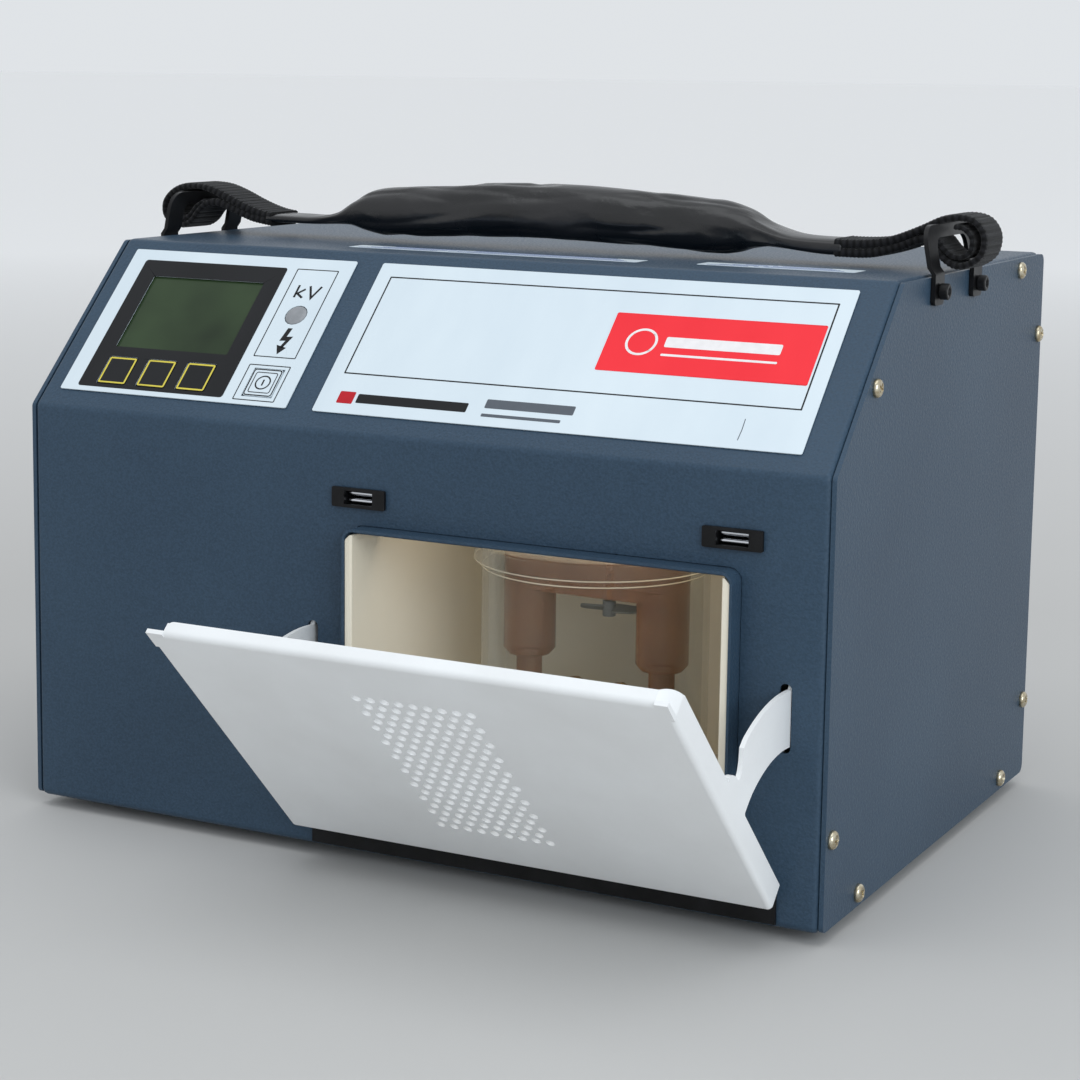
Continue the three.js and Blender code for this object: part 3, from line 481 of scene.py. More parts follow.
def turned(name, rings, matrix, material, steps=64, bevel=0.0, hollow=False, **kind):
    """A piece turned about the frame's z: rings are (radius or function of the turn, z).

    The ends are closed with a point, unless hollow, where the last ring joins the first.
    """
    skin = Skin()
    turns = [2 * math.pi * i / steps for i in range(steps)]
    rows = []
    for radius, z in rings:
        size = radius if callable(radius) else lambda _t, r=radius: r
        rows.append([(size(t) * math.cos(t), size(t) * math.sin(t), z) for t in turns])
    if hollow:
        rows.append(rows[0])
    else:
        rows = [[(0, 0, rings[0][1])] * steps, *rows, [(0, 0, rings[-1][1])] * steps]
    skin.grid(rows, closed=True)
    made = skin.object(name, matrix)
    soften(made, bevel)
    return dress(made, material, **kind)


def along(point, direction):
    """The case frame with its z turned to a direction at a point."""
    turn = Vector(direction).to_track_quat("Z", "Y").to_matrix().to_4x4()
    return CASE @ Matrix.Translation(point) @ turn


def cross(length, half_width):
    """Radius of a cross-shaped recess at each turn."""

    def radius(turn):
        c, s = abs(math.cos(turn)) + 1e-6, abs(math.sin(turn)) + 1e-6
        return max(min(length / c, half_width / s), min(half_width / c, length / s))

    return radius


def hexagon(inner):
    return lambda turn: inner / math.cos((turn + math.pi / 6) % (math.pi / 3) - math.pi / 6)


def curve(points, x):
    """Height at x on a smooth line through points sorted by x."""
    if x <= points[0][0]:
        return points[0][1]
    for i in range(len(points) - 1):
        (x1, y1), (x2, y2) = points[i], points[i + 1]
        if x <= x2:
            y0 = points[max(0, i - 1)]
            y3 = points[min(len(points) - 1, i + 2)]
            m1 = (y2 - y0[1]) / max(1e-6, x2 - y0[0])
            m2 = (y3[1] - y1) / max(1e-6, y3[0] - x1)
            t, span = (x - x1) / (x2 - x1), x2 - x1
            return (
                (2 * t**3 - 3 * t**2 + 1) * y1 + (t**3 - 2 * t**2 + t) * span * m1
                + (3 * t**2 - 2 * t**3) * y2 + (t**3 - t**2) * span * m2
            )
    return points[-1][1]


def spline(points, steps):
    """Points on a smooth open line through the points given."""
    ends = [points[0], *points, points[-1]]
    found = []
    for p0, p1, p2, p3 in zip(ends, ends[1:], ends[2:], ends[3:]):
        a, b, c, d = (Vector(p) for p in (p0, p1, p2, p3))
        for i in range(steps):
            t = i / steps
            found.append(
                0.5 * (2 * b + (c - a) * t + (2 * a - 5 * b + 4 * c - d) * t**2
                       + (3 * b - a - 3 * c + d) * t**3)
            )
    return [*found, Vector(points[-1])]


# ---------------------------------------------------------------- CAD nodes that stay

EDGE_WIDTHS = {
    "front_cover": 0.5, "side_panel_left": 0.5, "side_panel_right": 0.5, "rear_panel": 0.4,
    "chamber_collar": 0.4, "chamber_liner": 0.8, "chamber_roof": 0.4, "control_overlay": 0.12,
    "name_plate": 0.12, "electrode_holder": 0.5, "vessel_lid": 0.5, "mains_inlet": 0.5,
    "catch_body_left": 0.4, "catch_body_right": 0.4, "strap_bracket_left": 0.45,
    "strap_bracket_right": 0.45,
}
USUAL_EDGE = 0.25

for part in frame["record"]["subparts"]:
    node = frame["nodes"][part["node"]]
    node.data.materials.clear()
    bright = part["node"] == "stirrer_shaft"
    node.data.materials.append(BRIGHT_SHAFT if bright else FINISHES[part["material_slot"]])
    custom = node.data.attributes.get("custom_normal")
    if custom is not None:
        node.data.attributes.remove(custom)
    node.data.shade_smooth()
    soften(node, EDGE_WIDTHS.get(part["node"], USUAL_EDGE), weld=True)


# ---------------------------------------------------------------- door

DOOR_X = (-46.5, 183.5)
DOOR_Z = (18.6, 172.0)
DOOR_FRONT, DOOR_REAR, TOP_REAR = -14.0, -2.5, -7.4
DOOR_SHEET = 2.0
SIDE_BEND, BOTTOM_BEND, TOP_BEND = 2.3, 2.3, 2.4
SIDE_TOP = 162.0
TOP_FLANGE = (-38.5, 178.0)
HINGE = Vector((-5.0, 16.2))
HOLE_ROWS, HOLE_RADIUS, HOLE_SHIFT = 19, 2.05, 3.24
FIRST_HOLE, HOLE_PITCH = (40.4, 46.1), (6.475, 5.43)


def around_hinge(radius, degrees):
    """(y, z) at a radius from the hinge, with the turn taken from straight up to the back."""
    turn = math.radians(degrees)
    return (HINGE.x + radius * math.sin(turn), HINGE.y + radius * math.cos(turn))


def arm_outline():
    """Side flange and curved arm in (y, z), door closed."""
    bend_end = DOOR_FRONT + SIDE_BEND
    low = DOOR_Z[0] + BOTTOM_BEND
    outline = [(bend_end, low), (DOOR_REAR, low), (DOOR_REAR, 75.6)]
    outline += [around_hinge(60.4 + min(t, 8) * 0.08, 3 + t) for t in range(0, 54, 3)]
    outline += [around_hinge(r, 56) for r in (62.5, 88.5)]
    outline += [around_hinge(90, t) for t in (55, 52.5, 50)]
    outline += [around_hinge(r, 49.3) for r in (89.4, 86)]
    outline += [around_hinge(84.6, 48.8 - t) for t in range(0, 34, 2)]
    outline += [(14.9, 97.6), (12.6, 95.6), (10.3, 93.9), (7.4, 92.4), (5.0, 91.8), (3.6, 92.3)]
    outline += [(3.1, 94.6), (2.7, 97.0), (1.6, 99.4), (0.2, 101.2), (-1.0, 101.6), (-1.9, 100.6)]
    return [*outline, (DOOR_REAR, 101.0), (DOOR_REAR, SIDE_TOP), (bend_end, SIDE_TOP)]


def door_holes():
    """Perforations: rows of nine and eight in turn."""
    holes = []
    for row in range(HOLE_ROWS):
        shift, count = (0.0, 9) if row % 2 == 0 else (HOLE_SHIFT, 8)
        for i in range(count):
            x = FIRST_HOLE[0] + shift + HOLE_PITCH[0] * i
            holes.append(ring(x, FIRST_HOLE[1] + HOLE_PITCH[1] * row, HOLE_RADIUS, 20)[::-1])
    return holes


def door_shell():
    """The door's folded sheet: face, skirt on three sides, both arms and the top flange."""
    skin = Skin()
    xa, xb = DOOR_X[0] + SIDE_BEND, DOOR_X[1] - SIDE_BEND
    za, zb = DOOR_Z[0] + BOTTOM_BEND, DOOR_Z[1] - TOP_BEND
    (x0, x1), top = DOOR_X, DOOR_Z[1]
    outline = [
        (xa, za), (xb, za), (xb, SIDE_TOP), (x1, SIDE_TOP), (x1, top), (TOP_FLANGE[1], top),
        (TOP_FLANGE[1], zb), (TOP_FLANGE[0], zb), (TOP_FLANGE[0], top), (x0, top),
        (x0, SIDE_TOP), (xa, SIDE_TOP),
    ]
    skin.sheet([outline, *door_holes()], lambda x, z: (x, DOOR_FRONT, z))
    bends = [math.radians(15 * i) for i in range(7)]
    corner = [math.radians(15 * i) for i in range(7)]

    def station(side, turn, z=None):
        """One line of the skirt, from the face round the bend; turn 0 is at the side."""
        x, base = (xb, za) if side > 0 else (xa, za)
        depth = SIDE_BEND * math.cos(turn) ** 2 + BOTTOM_BEND * math.sin(turn) ** 2
        return [
            (x + side * SIDE_BEND * math.cos(turn) * math.sin(b),
             DOOR_FRONT + depth * (1 - math.cos(b)),
             (base if z is None else z) - BOTTOM_BEND * math.sin(turn) * math.sin(b))
            for b in bends
        ]

    bottom = [station(1, t) for t in corner] + [station(-1, t) for t in reversed(corner)]
    skin.grid([station(1, 0, SIDE_TOP), station(1, 0)])
    skin.grid([[*line, (line[-1][0], DOOR_REAR, line[-1][2])] for line in bottom])
    skin.grid([station(-1, 0), station(-1, 0, SIDE_TOP)])
    for x in DOOR_X:
        skin.sheet([arm_outline()], lambda y, z, side=x: (side, y, z))
    rows = [
        [(x, DOOR_FRONT + TOP_BEND * (1 - math.cos(b)), zb + TOP_BEND * math.sin(b)) for x in TOP_FLANGE]
        for b in bends
    ]
    skin.grid(rows)
    left, right = TOP_FLANGE
    turn = [math.radians(15 * i) for i in range(7)]
    flange = [(right, DOOR_FRONT + TOP_BEND), (right, TOP_REAR)]
    flange += [(left + 3 - 3 * math.sin(t), TOP_REAR - 3 + 3 * math.cos(t)) for t in turn]
    flange += [(left, DOOR_FRONT + TOP_BEND)]
    skin.sheet([flange], lambda x, y: (x, y, top))
    made = skin.object("door_shell", DOOR, ((60, DOOR_FRONT, 40), (0, -1, 0)))
    wall = made.modifiers.new("wall", "SOLIDIFY")
    wall.thickness = DOOR_SHEET * MM
    wall.offset = -1
    wall.use_even_offset = True
    soften(made, 0.25)
    return dress(made, FINISHES["door_paint"], "door", "door_paint", ["door_panel"])


def door_corner_tab():
    """The sloping tab that closes the door's top right corner: mostly straight, slightly bowed."""
    start, steps, straight = 158.0, 12, 0.7
    width, height = DOOR_X[1] - TOP_FLANGE[1], DOOR_Z[1] - SIDE_TOP
    outer = []
    for i in range(steps + 1):
        share, turn = i / steps, math.pi / 2 * i / steps
        across = straight * (1 - share) + (1 - straight) * math.cos(turn)
        up = straight * share + (1 - straight) * math.sin(turn)
        outer.append((TOP_FLANGE[1] + width * across, SIDE_TOP + height * up))
    outer = [(DOOR_X[1] - 0.05, start), *outer]
    inner = [(x - 1.7, z - 1.1) for x, z in outer]
    inner[0] = (DOOR_X[1] - 2.05, start)
    count = len(outer) - 1
    rows = []
    for i, (a, b) in enumerate(zip(outer, inner)):
        share = i / count
        front, rear = -12.4 + 0.4 * share, DOOR_REAR + (TOP_REAR - DOOR_REAR) * share**2
        rows.append([(a[0], front, a[1]), (a[0], rear, a[1]), (b[0], rear, b[1]), (b[0], front, b[1])])
    skin = Skin()
    skin.grid(rows, closed=True)
    skin.face(*rows[0])
    skin.face(*rows[-1])
    made = skin.object("door_corner_tab", DOOR)
    soften(made, 0.35)
    return dress(made, FINISHES["door_paint"], "door", "door_paint")


door_shell()
door_corner_tab()


# ---------------------------------------------------------------- chamber lining

LINING = {
    "left": (-22.3, -18.8), "right": (155.8, 159.3), "floor": (24.0, 28.0), "back": (134.5, 137.8),
}
LINING_CHAMFER = 2.4
LINING_FRONT, CHEST_Y, CHEST_TOP, LINTEL = -8.8, 14.6, 172.2, (145.3, 146.5)


def lining():
    """Open-topped cream tub: full height behind the lintel, and up to it in the mouth."""
    skin = Skin()
    (xa, xb), (xc, xd) = LINING["left"], LINING["right"]
    (za, zb), (yb, yc) = LINING["floor"], LINING["back"]
    front, chest, top, mouth = LINING_FRONT, CHEST_Y, CHEST_TOP, LINTEL[0]
    low = mouth - LINING_CHAMFER
    side = [(front, za), (yc, za), (yc, top), (chest, top), (chest, low), (front, low)]
    inner = [(front, zb), (yb, zb), (yb, top), (chest, top), (chest, mouth), (front, mouth)]
    for x, outline in ((xa, side), (xd, side), (xb, inner), (xc, inner)):
        skin.sheet([outline], lambda y, z, at=x: (at, y, z))
    for x0, x1, z, rear in ((xa, xd, za, yc), (xb, xc, zb, yb)):
        skin.face((x0, front, z), (x1, front, z), (x1, rear, z), (x0, rear, z))
        skin.face((x0, rear, z), (x1, rear, z), (x1, rear, top), (x0, rear, top))
    cut = LINING_CHAMFER
    mouth_outline = [
        (xa, za), (xd, za), (xd, low), (xd - cut, mouth), (xc, mouth), (xc, zb), (xb, zb), (xb, mouth),
        (xa + cut, mouth), (xa, low),
    ]
    skin.sheet([mouth_outline], lambda x, z: (x, front, z))
    skin.sheet([[(xa, chest), (xb, chest), (xb, yb), (xc, yb), (xc, chest), (xd, chest), (xd, yc), (xa, yc)]],
               lambda x, y: (x, y, top))
    for outside, corner, inside in ((xa, xa + cut, xb), (xd, xd - cut, xc)):
        slope = [(outside, low), (corner, mouth), (inside, mouth)]
        skin.grid([[(x, y, z) for x, z in slope] for y in (front, chest)])
        skin.sheet([[*slope, (inside, top), (outside, top)]], lambda x, z: (x, chest, z))
    made = skin.object("lining_tub", CASE)
    soften(made, 0.7, 3)
    return dress(made, FINISHES["liner"], "root", "liner", ["chamber_liner"])


lining()
XY_LINTEL = [rounded(LINING["left"][0], LINING["right"][1], -4.5, CHEST_Y + 1.4, 0.4)]
plate("lining_lintel", XY_LINTEL, *LINTEL, CASE, FINISHES["case_paint"], 0.2, slot="case_paint")
XY_CHEST = [rounded(LINING["left"][1] - 0.6, LINING["right"][0] + 0.6, CHEST_Y - 0.6, CHEST_Y + 1.4, 0.2)]
plate("lining_chest", XY_CHEST, LINTEL[0], CHEST_TOP, CASE, FINISHES["liner"], 0.2, slot="liner")


# ---------------------------------------------------------------- door strikes

STRIKE_TONGUE = [
    (-12.2, 153.4), (-11.0, 153.4), (-11.0, 159.7), (-1.6, 159.7), (-1.0, 160.0), (-1.0, 160.3),
    (-1.6, 160.6), (-12.2, 160.6),
]
STRIKE_HALF = 5.5
STRIKE_SIDE = Matrix(((0, 0, 1, 0), (1, 0, 0, 0), (0, 1, 0, 0), (0, 0, 0, 1)))
for label, x in (("left", -20.1), ("right", 156.75)):
    plate(
        f"strike_{label}", [STRIKE_TONGUE], x - STRIKE_HALF, x + STRIKE_HALF, DOOR @ STRIKE_SIDE,
        FINISHES["door_paint"], 0.25, body="door", slot="door_paint",
        stands_for=[f"door_strike_{label}"],
    )


# ---------------------------------------------------------------- panel graphics and keys

KEY_SIZE, KEY_V, KEY_TOP, KEY_BASE = 15.6, 22.6, 0.9, -3.2
SOFT_KEYS = {"key_left": -161.5, "key_middle": -139.45, "key_right": -117.4}
POWER_KEY_X = -80.8


def square(x, v, size, radius):
    half = size / 2
    return rounded(x - half, x + half, v - half, v + half, radius)


def printed(name, loops, ink, low=LABEL_TOP - 0.02, high=PRINT_TOP, body="root"):
    return plate(name, loops, low, high, SLOPE, ink, body=body)


def frame_line(name, x0, x1, v0, v1, width, radius, ink, **kind):
    inner = rounded(x0 + width, x1 - width, v0 + width, v1 - width, max(0.2, radius - width))
    return printed(name, [rounded(x0, x1, v0, v1, radius), inner[::-1]], ink, **kind)


window = [rounded(-179.3, -98.3, 12.4, 90.0, 1.6), rounded(-169.8, -107.2, 36.6, 80.2, 0.8)[::-1]]
window += [square(x, KEY_V, KEY_SIZE + 0.8, 1.2)[::-1] for x in SOFT_KEYS.values()]
printed("window_print", window, WINDOW_INK)

for name, x in SOFT_KEYS.items():
    plate(
        f"{name}_cap", [square(x, KEY_V, KEY_SIZE, 1.0)], KEY_BASE, KEY_TOP, SLOPE, WINDOW_INK, 0.2,
        body=name, slot="key", stands_for=[name],
    )
    half = KEY_SIZE / 2 - 0.25
    frame_line(
        f"{name}_outline", x - half, x + half, KEY_V - half, KEY_V + half, 0.85, 0.9, YELLOW_INK,
        low=KEY_TOP - 0.02, high=KEY_TOP + 0.06, body=name,
    )

plate(
    "key_power_cap", [square(POWER_KEY_X, KEY_V, KEY_SIZE, 1.6)], KEY_BASE, KEY_TOP, SLOPE,
    FINISHES["label"], 0.2, body="key_power", slot="key", stands_for=["key_power"],
)
ON_KEY = {"low": KEY_TOP - 0.02, "high": KEY_TOP + 0.06, "body": "key_power"}
frame_line("power_outline", -88.4, -73.2, 15.0, 30.2, 0.6, 1.6, BLACK_INK, **ON_KEY)
frame_line("power_inline", -86.7, -74.9, 16.7, 28.5, 0.45, 1.2, BLACK_INK, **ON_KEY)
power_ring = [ring(POWER_KEY_X, KEY_V, 4.0), ring(POWER_KEY_X, KEY_V, 3.3)[::-1]]
printed("power_ring", power_ring, BLACK_INK, **ON_KEY)
printed("power_bar", [rounded(-81.2, -80.4, 20.9, 24.3, 0.2)], BLACK_INK, **ON_KEY)
frame_line("power_frame", -92.6, -70.3, 12.1, 32.7, 0.5, 0.6, BLACK_INK)
frame_line("lamp_frame", -93.0, -70.3, 37.2, 90.0, 0.5, 0.6, BLACK_INK)

for name, points in {
    "letter_k_stem": [(-87.4, 72.8), (-87.4, 80.2)],
    "letter_k_arm": [(-83.2, 78.0), (-86.6, 75.2), (-83.0, 72.8)],
    "letter_v": [(-81.4, 80.0), (-78.3, 72.9), (-75.2, 80.0)],
}.items():
    printed(name, [stroke(points, 1.1)], BLACK_INK)
BOLT = [
    (-82.0, 54.6), (-79.6, 54.6), (-80.6, 49.6), (-77.2, 49.9), (-80.0, 43.0), (-81.6, 43.4),
    (-80.2, 47.3), (-83.4, 47.0),
]
printed("bolt_shaft", [BOLT], BLACK_INK)
printed("bolt_head", [[(-83.6, 44.6), (-80.9, 43.9), (-78.0, 43.2), (-81.2, 39.2)]], BLACK_INK)

turned(
    "lamp_dome",
    [(5.2, -7.0), (5.4, -6.6), (5.4, 0.5), (5.1, 0.85), (4.4, 1.05), (3.0, 1.17), (1.4, 1.2)],
    SLOPE @ Matrix.Translation((-81.5, 62.5, 0)), FINISHES["lamp"], 48, slot="lamp",
    stands_for=["hv_lamp_lens"],
)

frame_line("plate_frame", -42.0, 176.0, 31.6, 88.6, 0.7, 0.3, BLACK_INK)
printed("heading_start", [rounded(-39.0, -31.0, 15.2, 21.8, 0.6)], RED_INK)
printed("heading_bar", [rounded(-29.4, 26.0, 16.0, 21.0, 0.6)], BLACK_INK)
printed("title_bar", [rounded(34.0, 76.5, 19.2, 24.0, 0.6)], GREY_INK)
printed("subtitle_rule", [rounded(34.0, 72.0, 14.6, 16.2, 0.4)], GREY_INK)
printed("hire_film", [rounded(77.6, 174.4, 44.3, 76.3, 0.8)], RED_FILM, high=PRINT_TOP + 0.06)
FILM = {"low": PRINT_TOP + 0.04, "high": PRINT_TOP + 0.1}
printed("film_ring", [ring(94.0, 61.0, 7.4), ring(94.0, 61.0, 6.2)[::-1]], WHITE_INK, **FILM)
printed("film_bar", [rounded(105.0, 158.0, 59.0, 64.6, 0.8)], WHITE_INK, **FILM)
printed("film_rule", [rounded(105.0, 158.0, 54.2, 55.4, 0.4)], WHITE_INK, **FILM)
printed("film_scratch", [stroke([(153.3, 14.0), (153.6, 19.5), (153.4, 25.0)], 0.35)], GREY_INK)

TOP = CASE @ Matrix.Translation((0, 0, CASE_TOP))
TOP_LABELS = {"top_label_a": (-84.0, 67.0, 93.0, 106.0), "top_label_b": (93.0, 168.0, 100.0, 114.0)}
for name, (x0, x1, y0, y1) in TOP_LABELS.items():
    plate(name, [rounded(x0, x1, y0, y1, 0.8)], 0.02, 0.18, TOP, FINISHES["label"], slot="label")
    lines = [(y0 + 2.2 + 3.1 * i, x0 + 4 + 5 * i) for i in range(4)]
    for i, (y, start) in enumerate(lines):
        room = x1 - start - 4
        words = [(start, start + 0.3 * room), (start + 0.34 * room, x1 - 6 - 3 * i)]
        for j, (a, b) in enumerate(words):
            plate(f"{name}_line_{i}_{j}", [rounded(a, b, y, y + 1.1, 0.3)], 0.16, 0.22, TOP, BLUE_INK)


# ---------------------------------------------------------------- screws, rollers and feet

PAN_HEAD = [
    (4.0, -0.2), (4.0, 0.9), (3.85, 1.5), (3.4, 2.05), (2.8, 2.4), (cross(2.3, 0.55), 2.55),
    (cross(2.1, 0.45), 1.2),
]
SIDE_SCREWS = [(7, 39), (40, 7), (237, 7), (270, 39), (270, 222), (237, 255), (42, 220)]
for label, side in (("right", 1), ("left", -1)):
    for i, (y, z) in enumerate(SIDE_SCREWS):
        place = along((side * SIDE_X, y, z), (side, 0, 0)) @ Matrix.Rotation(0.7 * i, 4, "Z")
        turned(f"side_screw_{label}_{i + 1}", PAN_HEAD, place, ZINC, 64, 0.06, slot="steel")

REAR_Y = 277.0
REAR_SCREWS = [(-184, 22), (184, 22), (-184, 240), (184, 240)]
for i, (x, z) in enumerate(REAR_SCREWS):
    place = along((x, REAR_Y, z), (0, 1, 0)) @ Matrix.Rotation(0.9 * i, 4, "Z")
    turned(f"rear_screw_{i + 1}", PAN_HEAD, place, ZINC, 64, 0.06, slot="steel")

SOCKET_HEAD = [
    (1.9, -8.0), (1.9, 0.0), (3.3, 0.0), (3.5, 0.25), (lambda t: 3.5 + 0.05 * math.cos(36 * t), 0.6),
    (lambda t: 3.5 + 0.05 * math.cos(36 * t), 3.4), (3.45, 3.75), (3.1, 4.0), (hexagon(1.75), 4.0),
    (hexagon(1.75), 2.0),
]
for label, side in (("right", 1), ("left", -1)):
    for i, y in enumerate((112.15, 164.85)):
        place = along((side * (SIDE_X + 2.6), y, 254.5), (side, 0, 0))
        turned(
            f"socket_screw_{label}_{i + 1}", SOCKET_HEAD, place, FINISHES["black_metal"], 144,
            slot="black_metal", stands_for=[f"bracket_screw_{label}_{i + 1}"],
        )

ROLLER = [(0.95, 0.0), (1.12, 0.12), (1.2, 0.4), (1.2, 12.6), (1.12, 12.88), (0.95, 13.0)]
for label, x in (("left", -26.6), ("right", 150.25)):
    for level, z in (("upper", 161.95), ("lower", 158.55)):
        turned(
            f"roller_{label}_{level}_pin", ROLLER, along((x, 2.6, z), (1, 0, 0)),
            FINISHES["chrome"], 32, body=f"roller_{label}_{level}", slot="chrome",
            stands_for=[f"catch_roller_{label}_{level}"],
        )

FOOT = [(7.6, -5.3), (8.6, -5.2), (9.2, -4.8), (10.0, -1.4), (10.0, -0.8), (9.6, -0.3)]
for i, (x, y) in enumerate(((-165, 35), (165, 35), (-165, 242), (165, 242))):
    turned(
        f"rubber_foot_{i + 1}", [(3.2, -3.6), (3.4, -5.2), *FOOT], CASE @ Matrix.Translation((x, y, 0)),
        FINISHES["rubber"], 64, slot="rubber", stands_for=[f"foot_{i + 1}"],
    )


# ---------------------------------------------------------------- vessel

VESSEL = CASE @ Matrix.Translation((64, 64, 0))
turned(
    "jar_body",
    [
        (46.5, 28.3), (49.6, 28.7), (50.7, 29.8), (51.0, 31.6), (51.0, 135.6), (50.6, 137.2),
        (49.6, 137.6), (48.4, 137.3), (48.0, 136.4), (48.0, 35.2), (47.2, 33.2), (45.0, 32.3),
    ],
    VESSEL, FINISHES["clear_plastic"], 128, slot="clear_plastic", stands_for=["vessel_jar"],
)

# Thin near-white rings at the jar rim and at the lid's foot and top: painted highlights in place of the light
# caught by the clear plastic's edges, not moulded beads.
GLINT_SECTION = [(-0.26, -0.15), (0.0, -0.3), (0.26, -0.15), (0.26, 0.15), (0.0, 0.3), (-0.26, 0.15)]
GLINT_RINGS = {"lid_foot_bead": (54.3, 131.9), "lid_top_bead": (54.2, 142.1), "jar_rim_bead": (50.9, 128.6)}
for name, (radius, z) in GLINT_RINGS.items():
    rings = [(radius + r, z + h) for r, h in GLINT_SECTION]
    turned(name, rings, VESSEL, EDGE_GLINT_PAINT, 128, hollow=True, slot="clear_plastic")


# ---------------------------------------------------------------- carrying strap

STRAP_Y = 138.5
GRIP_TOP = [
    (-154, 272.9), (-140.8, 272.7), (-126, 272.8), (-112, 275.6), (-103, 281.8), (-94.8, 286.4),
    (-79.9, 288.4), (-43.5, 291.2), (-14, 292.5), (14.9, 292.5), (38, 291.6), (66.8, 290.2),
    (80, 289.2), (92.1, 287.8), (102.1, 284.6), (110.6, 279.6), (121.5, 275.6), (130.8, 274.1),
    (152, 273.7),
]
GRIP_BOTTOM = [
    (-154, 268.3), (-126, 268.4), (-107.3, 268.8), (-99, 266.4), (-89.4, 263.9), (-55.4, 265.2),
    (-19.6, 266.3), (15.3, 266.4), (38.5, 265.7), (67.4, 264.4), (86.6, 263.8), (98, 264.4),
    (108, 267.0), (116, 268.2), (140.2, 266.2), (152, 266.0),
]
GRIP_WIDTH = [
    (-154, 12.6), (-126, 12.6), (-112, 12.9), (-98, 13.7), (-80, 14.0), (80, 14.0), (96, 13.8),
    (110, 13.0), (126, 12.6), (152, 12.6),
]
GRIP_ENDS = (-154, 152)


def grip():
    """Padded middle of the strap: a lofted, creased sleeve that flattens to a neck at each end."""
    skin = Skin()
    count, around = 230, 72
    rows = []
    for i in range(count + 1):
        x = GRIP_ENDS[0] + (GRIP_ENDS[1] - GRIP_ENDS[0]) * i / count
        top, bottom, half = curve(GRIP_TOP, x), curve(GRIP_BOTTOM, x), curve(GRIP_WIDTH, x)
        tall = (top - bottom) / 2
        body = min(1.0, max(0.0, (tall - 4.0) / 7.0))
        neck = math.exp(-(((abs(x + 1) - 113) / 9) ** 2))
        row = []
        for k in range(around):
            turn = 2 * math.pi * k / around
            c, s = math.cos(turn), math.sin(turn)
            power = 2 / (3.4 - 1.1 * body)
            y = math.copysign(abs(c) ** power, c) * half
            z = math.copysign(abs(s) ** power, s) * tall
            spot = Vector((x / 34, y / 13, z / 13 + 4))
            crease = abs(noise.noise(Vector((x / 42, y / 9 + 9, z / 9)))) * 2.6
            dent = noise.noise(spot) * 1.7 + noise.noise(spot * 3.1) * 0.3 + crease
            gather = math.sin(9 * turn + 2.4 * noise.noise(Vector((x / 20, 7, 1)))) * 0.5
            sink = body * (dent - 0.95) * 0.9 + neck * (gather - 0.5) * 0.6 - (1 - body) * 0.12
            size = math.hypot(y, z) or 1.0
            shrink = 1 + min(0.0, sink) / size
            row.append((x, STRAP_Y + y * shrink, (top + bottom) / 2 + z * shrink))
        rows.append(row)
    skin.grid(rows, closed=True)
    skin.face(*rows[0])
    skin.face(*rows[-1])
    return skin


def unwrap(obj, along_axis):
    """UV in metres: along the strap, and across or round it."""
    layer = obj.data.uv_layers.new(name="UVMap")
    for loop in obj.data.loops:
        p = obj.data.vertices[loop.vertex_index].co
        layer.data[loop.index].uv = along_axis(p)


sleeve = grip().object("grip_sleeve", CASE)
unwrap(sleeve, lambda p: (p.x, p.y + p.z))
smooth = sleeve.modifiers.new("smooth", "SUBSURF")
smooth.levels = smooth.render_levels = 1
dress(sleeve, FINISHES["shrink_sleeve"], "handle", "shrink_sleeve", ["handle_grip"])

TAIL = [
    (202.8, 281.4), (207.0, 280.6), (210.6, 276.8), (210.4, 271.6), (207.2, 268.7), (202.8, 268.4),
    (198.6, 271.2), (195.0, 275.2), (191.0, 277.6),
]
NECK_BAND, LOOP_BAND, TAIL_BAND = 4.3, 3.2, 2.6
THINNING = (180, 194)
RIB_PITCH, RIB_DEPTH = 1.75, 0.16
BAND_HALF = 12.4
BAND_SECTION = [
    (1, 0), (1, 0.5), (1, 0.86), (0.72, 0.97), (0, 1.0), (-0.72, 0.97), (-1, 0.86), (-1, 0.5),
    (-1, 0), (-1, -0.5), (-1, -0.86), (-0.72, -0.97), (0, -1.0), (0.72, -0.97), (1, -0.86), (1, -0.5),
]
STRAPS = {
    "right": (1, [
        (148, 271.9), (153, 271.8), (163, 272.2), (171.5, 273.4), (179, 275.7), (188, 279.8),
        (197, 284.2), (205.6, 285.4), (212.2, 283.5), (216.1, 277.6), (215.2, 270.2), (210.6, 265.8),
        (204, 264.4), (198.2, 267.4), (194.2, 272.4), (190.2, 275.4), (185, 274.6), (178, 271.8),
        (168, 268.9), (160, 267.9), (148, 267.9),
    ]),
    "left": (-1, [
        (150, 271.5), (156, 272.4), (163.6, 274.6), (171, 277.4), (177.6, 280.2), (188, 284.0),
        (197, 285.1), (204.6, 284.2), (210.6, 281.2), (214.6, 276.2), (214.4, 270.2), (210.2, 266.4),
        (204, 265.2), (198.6, 267.8), (194.4, 272.6), (189, 276.6), (182, 277.2), (174, 274.8),
        (166, 271.9), (160, 270.2), (150, 268.7),
    ]),
}


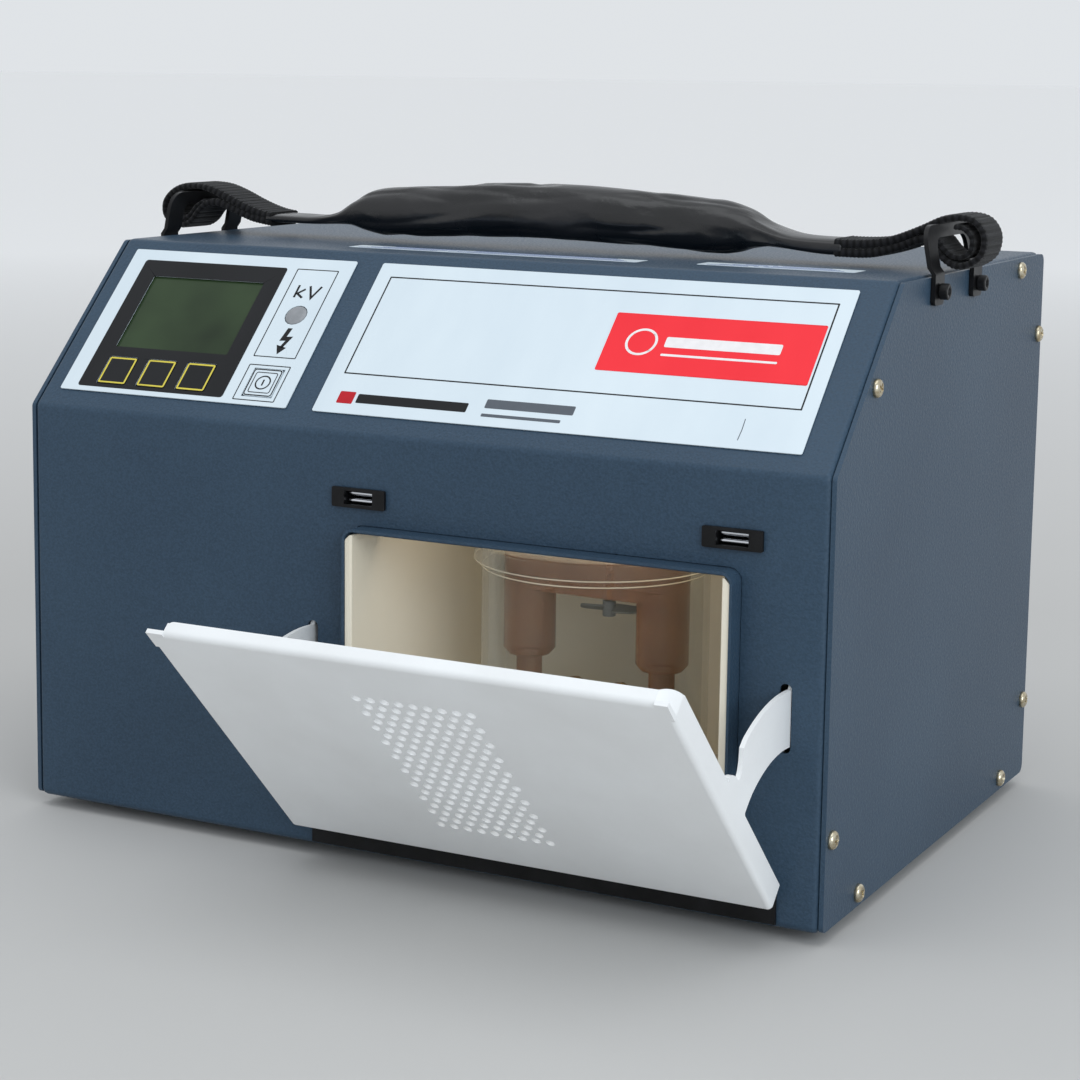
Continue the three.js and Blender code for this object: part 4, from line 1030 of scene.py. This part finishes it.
def band(skin, side, points, thickness):
    """A length of webbing lofted along (x, z) points; returns each point's UV."""
    line = spline([(side * x, z) for x, z in points], 24)
    travelled = 0.0
    rows, lengths = [], []
    for i, here in enumerate(line):
        if i:
            travelled += (here - line[i - 1]).length
        ahead = (line[min(i + 1, len(line) - 1)] - line[max(i - 1, 0)]).normalized()
        normal = Vector((-ahead.y, ahead.x))
        rib = RIB_DEPTH * math.sin(2 * math.pi * travelled / RIB_PITCH)
        wave = 0.25 * noise.noise(Vector((travelled / 14, side, 3)))
        row = []
        for share, edge in BAND_SECTION:
            ridge = rib if abs(share) == 1 else rib * 0.4
            spot = here + normal * share * (thickness(abs(here.x)) / 2 + ridge - RIB_DEPTH)
            row.append((spot.x, STRAP_Y + edge * BAND_HALF + wave * (1 if edge else 0), spot.y))
        rows.append(row)
        lengths.append(travelled)
    skin.grid(rows, closed=True)
    skin.face(*rows[0])
    skin.face(*rows[-1])
    uvs = {}
    for row, length in zip(rows, lengths):
        for p in row:
            uvs[skin.point(p)] = (length * MM, p[1] * MM)
    return uvs


def loop_thickness(x):
    """The doubled webbing thins from the neck to the loop."""
    share = min(1, max(0, (x - THINNING[0]) / (THINNING[1] - THINNING[0])))
    return NECK_BAND + (LOOP_BAND - NECK_BAND) * share


def strap_loop(label, side, points, tail):
    """One end of the webbing: out of the sleeve, round the bracket's bar and back under itself."""
    skin = Skin()
    uvs = band(skin, side, points, loop_thickness)
    uvs.update(band(skin, side, tail, lambda x: TAIL_BAND))
    made = skin.object(f"webbing_{label}", CASE)
    layer = made.data.uv_layers.new(name="UVMap")
    for loop in made.data.loops:
        layer.data[loop.index].uv = uvs[loop.vertex_index]
    soften(made, 0)
    dress(made, FINISHES["webbing"], None, "webbing", [f"strap_{label}"])
    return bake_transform(made)


for label, (side, points) in STRAPS.items():
    strap_loop(label, side, points, TAIL)


# ---------------------------------------------------------------- stage, light and camera

FLOOR_HALF_M = 80.0
floor_corners = [(x * FLOOR_HALF_M, y * FLOOR_HALF_M, 0) for x, y in ((-1, -1), (1, -1), (1, 1), (-1, 1))]
floor_mesh = bpy.data.meshes.new("floor")
floor_mesh.from_pydata(floor_corners, [], [(0, 1, 2, 3)])
floor = bpy.data.objects.new("floor", floor_mesh)
bpy.context.scene.collection.objects.link(floor)
ground = Finish("pale_floor")
near = ground.mix(ground.noise(3.0), rgb(196, 195, 193), rgb(192, 191, 189))
distance = ground.add("ShaderNodeVectorMath", {0: ground.place}, operation="LENGTH").outputs["Value"]
far_share = ground.remap(distance, 0.6, 3.5, 0.0, 1.0)
floor_mesh.materials.append(ground.finish(ground.mix(far_share, near, rgb(252, 252, 252)), 0.8))

world = bpy.data.worlds.new("studio")
bpy.context.scene.world = world
world.use_nodes = True
background = world.node_tree.nodes["Background"]
background.inputs["Color"].default_value = (0.93, 0.965, 1.0, 1.0)
background.inputs["Strength"].default_value = 0.8


def softbox(name, place, aim, size, power, colour):
    """A rectangular area light: metres, watts and linear colour."""
    lamp = bpy.data.lights.new(name, "AREA")
    lamp.shape = "RECTANGLE"
    lamp.size, lamp.size_y = size
    lamp.energy = power
    lamp.color = colour
    made = bpy.data.objects.new(name, lamp)
    bpy.context.scene.collection.objects.link(made)
    made.location = place
    made.rotation_euler = (Vector(aim) - Vector(place)).to_track_quat("-Z", "Y").to_euler()


softbox("overhead", (0.1, -0.35, 1.9), (0, 0, 0.15), (1.8, 1.4), 8.0, (0.95, 0.98, 1.0))
softbox("right_window", (1.9, -1.3, 0.9), (0, 0, 0.12), (1.4, 1.2), 19.0, (0.85, 0.93, 1.0))

GLOW_PLACE, GLOW_AIM = CASE @ Vector((75, 30, 168)), CASE @ Vector((68, 90, 60))
softbox("chamber_glow", GLOW_PLACE, GLOW_AIM, (0.12, 0.03), 0.035, (1.0, 0.9, 0.76))

CAMERA_PLACE_M = (0.5449, -1.0062, 0.3552)
CAMERA_RIGHT = Vector((0.8869, 0.4617, 0.0142))
CAMERA_FORWARD = Vector((-0.4549, 0.8784, -0.1463))
FOCAL_LENGTH, SENSOR_WIDTH, LENS_SHIFT = 83.59, 36.0, -0.1
lens = bpy.data.cameras.new("camera")
lens.lens, lens.sensor_width = FOCAL_LENGTH, SENSOR_WIDTH
lens.shift_y = LENS_SHIFT
lens.clip_start, lens.clip_end = 0.05, 50.0
camera = bpy.data.objects.new("camera", lens)
bpy.context.scene.collection.objects.link(camera)
right = CAMERA_RIGHT.normalized()
back = -(CAMERA_FORWARD - CAMERA_FORWARD.dot(right) * right).normalized()
turn = Matrix((right, back.cross(right), back)).transposed().to_4x4()
camera.matrix_world = Matrix.Translation(CAMERA_PLACE_M) @ turn
bpy.context.scene.camera = camera
bpy.context.scene.view_settings.view_transform = "Standard"
